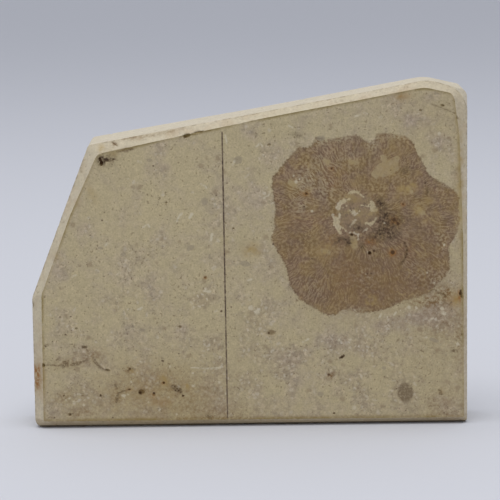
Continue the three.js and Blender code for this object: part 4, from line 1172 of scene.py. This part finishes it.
# The stone where it isn't polished: dry, pale and powdery.
rawFinish = {
    "ground": "#cbc0a8",
    "sawn": "#cfc7b6",
    "share": 0.62,  # how far that powder hides the stone's own colour
    "grain": [(8, 2, 0.16), (2.2, 2, 0.2), (0.8, 3, 0.34)],
    "grime": "#83765f",
    "grimeShares": (0.06, 0.22, 0.5),  # in the fine marks, in the deeper saw marks and in the pores
    "footDarkening": ("#7a6038", 0.7),  # darker towards the foot
    "footStarts": (1.2, 0.2),  # mm up, where that starts and is full
    "poreStarts": (0.02, 0.2),  # mm deep, the same for the grime in the pores
    "fineMarks": {"Scale": 0.055, "Distortion": 1.2, "Detail": 3, "Detail Scale": 1.5},
    "edgeBlade": (0, 400, 0),  # mm, the middle of the blade that cut the edges
    "spongeDust": 0.45,  # how much powder hides the sponge on the back
    "spongeStrength": 0.85,
    "spongeEdge": (2.4, -0.6, 0.8),  # as on the face
    "relief": (0.08, 0.5),
}

# The bevel: colour and how much of it shows.
bevelFinish = {
    "flush": ("#b39a78", 0.3),  # warmer patches
    "ridge": (rawFinish["grime"], 0.6),  # dirt along the ridge
    "bits": (rawFinish["grime"], 0.45),
    # darker and browner towards the foot
    "foot": ("#9a835c", 0.4),
    "contactShadow": ("#1a120a", 0.97),  # painted shadow: a near-black line where the slab meets what it stands on
    # the colour in the chips, partly the stone's own and partly painted shade, darker the deeper they go
    "chip": ("#74603f", 0.8),
    "darkGrain": ("#3a2a1c", 0.9),
    "strewnBits": (2.2, 0.4, 0.6, (4, 2, 7)),  # mm apart, share, mm wide, shift
    # where these start and are full: flush and broken by noise, the others by distance in mm
    "flushStarts": (0.5, 0.65),
    "brokenStarts": (0.45, 0.6),
    "ridgeStarts": (0.5, 0.1),
    "footStarts": (3, 1.6),
    "contactShadowStarts": (0.95, 0.68),
    "chipStarts": (0.02, 0.3),
    "grainEdge": (0.7, -0.12, 0.42),  # of the dark grains, as on the face
    "relief": (0.06, 0.5),  # mm deep, and its strength
}


def rawColour(tree, place, powder):
    colour = layered(tree, stoneColour(tree, place), [(rawFinish["share"], powder, 1)])
    return shaded(tree, place, colour, rawFinish["grain"])


def groundLimestone():
    # limestone ground on a wheel: matt, pale, with a faint dirty line along the ridge
    material, tree, shader = newMaterial("groundLimestone", 0.75, 1.5)
    place = placeInMm(tree)
    across = addNode(tree, "ShaderNodeSeparateXYZ", (place,), out="Y")
    up = across.node.outputs["Z"]
    ridge = low.y + slabShape["bevelDepth"]
    gap = addNode(tree, "ShaderNodeMath", (across, ridge), operation="SUBTRACT")
    gap = addNode(tree, "ShaderNodeMath", (gap,), operation="ABSOLUTE")
    patchy = addNode(tree, "ShaderNodeTexNoise", {
        "Vector": place, "Scale": 1 / 2.5, "Detail": 3, "Roughness": 0.7})
    flush = addNode(tree, "ShaderNodeTexNoise", {"Vector": place, "Scale": 1 / 5, "Detail": 2})
    depth = addNode(tree, "ShaderNodeAttribute", out="Fac", attribute_name="sunk")
    line, broken, flush, foot, contactShadow, chip = (
        addNode(tree, "ShaderNodeMapRange", (value, *bevelFinish[name]))
        for value, name in ((gap, "ridgeStarts"), (patchy, "brokenStarts"), (flush, "flushStarts"),
                            (up, "footStarts"), (up, "contactShadowStarts"), (depth, "chipStarts")))
    # the contact layer is a painted shadow along the slab's foot
    masks = {
        "flush": flush, "ridge": (line, broken),
        "bits": grainsIn(tree, place, *bevelFinish["strewnBits"]),
        "foot": foot, "contactShadow": contactShadow, "chip": chip,
        "darkGrain": markMask(tree, "darkGrain", patchy, *bevelFinish["grainEdge"])}
    layers = [(mask, *bevelFinish[name]) for name, mask in masks.items()]
    layers += stainLayers(tree, place, ["umber", "ochre", "rust"])
    colour = layered(tree, rawColour(tree, place, rawFinish["ground"]), layers)
    dressShader(tree, shader, colour, patchy, *bevelFinish["relief"])
    return material


def sawnLimestone(name, withSponge):
    # limestone left as the diamond saw cut it: matt and pale, with fine curved saw marks
    material, tree, shader = newMaterial(name, 0.85, 1.5)
    place = placeInMm(tree)
    colour = rawColour(tree, place, rawFinish["sawn"])
    ragged = addNode(tree, "ShaderNodeTexNoise", {
        "Vector": place, "Scale": 1 / 2.2, "Detail": 3, "Roughness": 0.6})
    bladeCentre = rawFinish["edgeBlade"]
    if withSponge:
        bladeCentre = (sawnSurface["bladeX"], 0, sawnSurface["bladeZ"])
        sponge, _ = spongeColour(tree, place)
        dusty = layered(tree, sponge, [(rawFinish["spongeDust"], rawFinish["ground"], 1)])
        inSponge = markMask(tree, "spongeEdge", ragged, *rawFinish["spongeEdge"])
        colour = layered(tree, colour, [(inSponge, dusty, rawFinish["spongeStrength"])])
    fromBlade = addNode(tree, "ShaderNodeVectorMath", (place, bladeCentre), operation="SUBTRACT")
    marks = addNode(tree, "ShaderNodeTexWave", {"Vector": fromBlade, **rawFinish["fineMarks"]},
        out="Fac", wave_type="RINGS", rings_direction="SPHERICAL")
    up = addNode(tree, "ShaderNodeSeparateXYZ", (place,), out="Z")
    sawMark, depth = (addNode(tree, "ShaderNodeAttribute", out="Fac", attribute_name=name)
                      for name in ("sawMark", "sunk"))
    foot, pore = (addNode(tree, "ShaderNodeMapRange", (value, *rawFinish[name]))
                  for value, name in ((up, "footStarts"), (depth, "poreStarts")))
    layers = [(mask, rawFinish["grime"], share)
              for mask, share in zip((marks, sawMark, pore), rawFinish["grimeShares"])]
    colour = layered(tree, colour, [(foot, *rawFinish["footDarkening"]), *layers])
    height = addNode(tree, "ShaderNodeMath", (marks, 0.5, ragged), operation="MULTIPLY_ADD")
    dressShader(tree, shader, colour, height, *rawFinish["relief"])
    return material


print("stone: materials")
slabMaterials = {
    "face": polishedSpongeLimestone(),
    "bevel": groundLimestone(),
    "edge": sawnLimestone("sawnLimestone", False),
    "back": sawnLimestone("sawnLimestoneBack", True),
}
print("stone: mesh")
slabMesh = buildSlab()
markSharpEdges(slabMesh, slabShape["sharpAngle"])
slabPiece = bpy.data.objects.new("sponge_slab_stone", slabMesh)
bpy.context.collection.objects.link(slabPiece)
print("stone: pores and saw marks")
roughen(slabPiece, sawnSurfaceTree(slabMaterials))
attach(slabPiece, "root")
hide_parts(slabNode)

# Places and lengths here are in metres, apart from the lens and the sensor.
studio = {
    "cameraPlace": (0.0003, -0.762, 0.1628),
    "cameraDown": 7.681,  # degrees below level
    "cameraRoll": 0.733,  # degrees
    "lens": 159,  # mm
    "sensor": 36,
    "viewDepth": 60,
    "floorColour": "#cdced3",
    "floorHalfSize": 12,
    "skyColour": "#dfe2ea",
    "skyStrength": 0.82,
    "keyPlace": (-0.15, -0.35, 1.9),
    "keyAim": (0, 0, 0.06),
    "keySize": 1.5,
    "keyPower": 20,
}


def addCamera():
    data = bpy.data.cameras.new("camera")
    data.lens = studio["lens"]
    data.sensor_width = studio["sensor"]
    data.clip_end = studio["viewDepth"]
    camera = bpy.data.objects.new("camera", data)
    bpy.context.collection.objects.link(camera)
    down, roll = math.radians(studio["cameraDown"]), math.radians(studio["cameraRoll"])
    forward = Vector((0, math.cos(down), -math.sin(down)))
    level = Vector((1, 0, 0))
    upright = level.cross(forward)
    across = level * math.cos(roll) - upright * math.sin(roll)
    up = level * math.sin(roll) + upright * math.cos(roll)
    turn = Matrix((across, up, -forward)).transposed().to_4x4()
    camera.matrix_world = Matrix.Translation(studio["cameraPlace"]) @ turn
    bpy.context.scene.camera = camera


def studioFloor():
    # matt painted board: pale, even and without a reflection
    material, _, shader = newMaterial("matteStudioFloor", 0.9, 1.45)
    shader.inputs["Base Color"].default_value = toLinear(studio["floorColour"])
    shader.inputs["Specular IOR Level"].default_value = 0.2
    return material


def addFloor():
    half = studio["floorHalfSize"]
    mesh = bpy.data.meshes.new("floor")
    corners = [(-half, -half, 0), (half, -half, 0), (half, half, 0), (-half, half, 0)]
    mesh.from_pydata(corners, [], [(0, 1, 2, 3)])
    mesh.materials.append(studioFloor())
    floor = bpy.data.objects.new("floor", mesh)
    bpy.context.collection.objects.link(floor)


def addLights():
    world = bpy.data.worlds.new("studioFill")
    bpy.context.scene.world = world
    world.use_nodes = True
    sky = world.node_tree.nodes["Background"]
    sky.inputs["Color"].default_value = toLinear(studio["skyColour"])
    sky.inputs["Strength"].default_value = studio["skyStrength"]
    data = bpy.data.lights.new("overheadSoftbox", "AREA")
    data.shape = "SQUARE"
    data.size = studio["keySize"]
    data.energy = studio["keyPower"]
    light = bpy.data.objects.new("overheadSoftbox", data)
    bpy.context.collection.objects.link(light)
    light.location = studio["keyPlace"]
    aim = Vector(studio["keyAim"]) - Vector(studio["keyPlace"])
    light.rotation_mode = "QUATERNION"
    light.rotation_quaternion = aim.to_track_quat("-Z", "Y")


print("studio: camera, floor and lights")
addCamera()
addFloor()
addLights()
bpy.context.scene.view_settings.view_transform = "Standard"
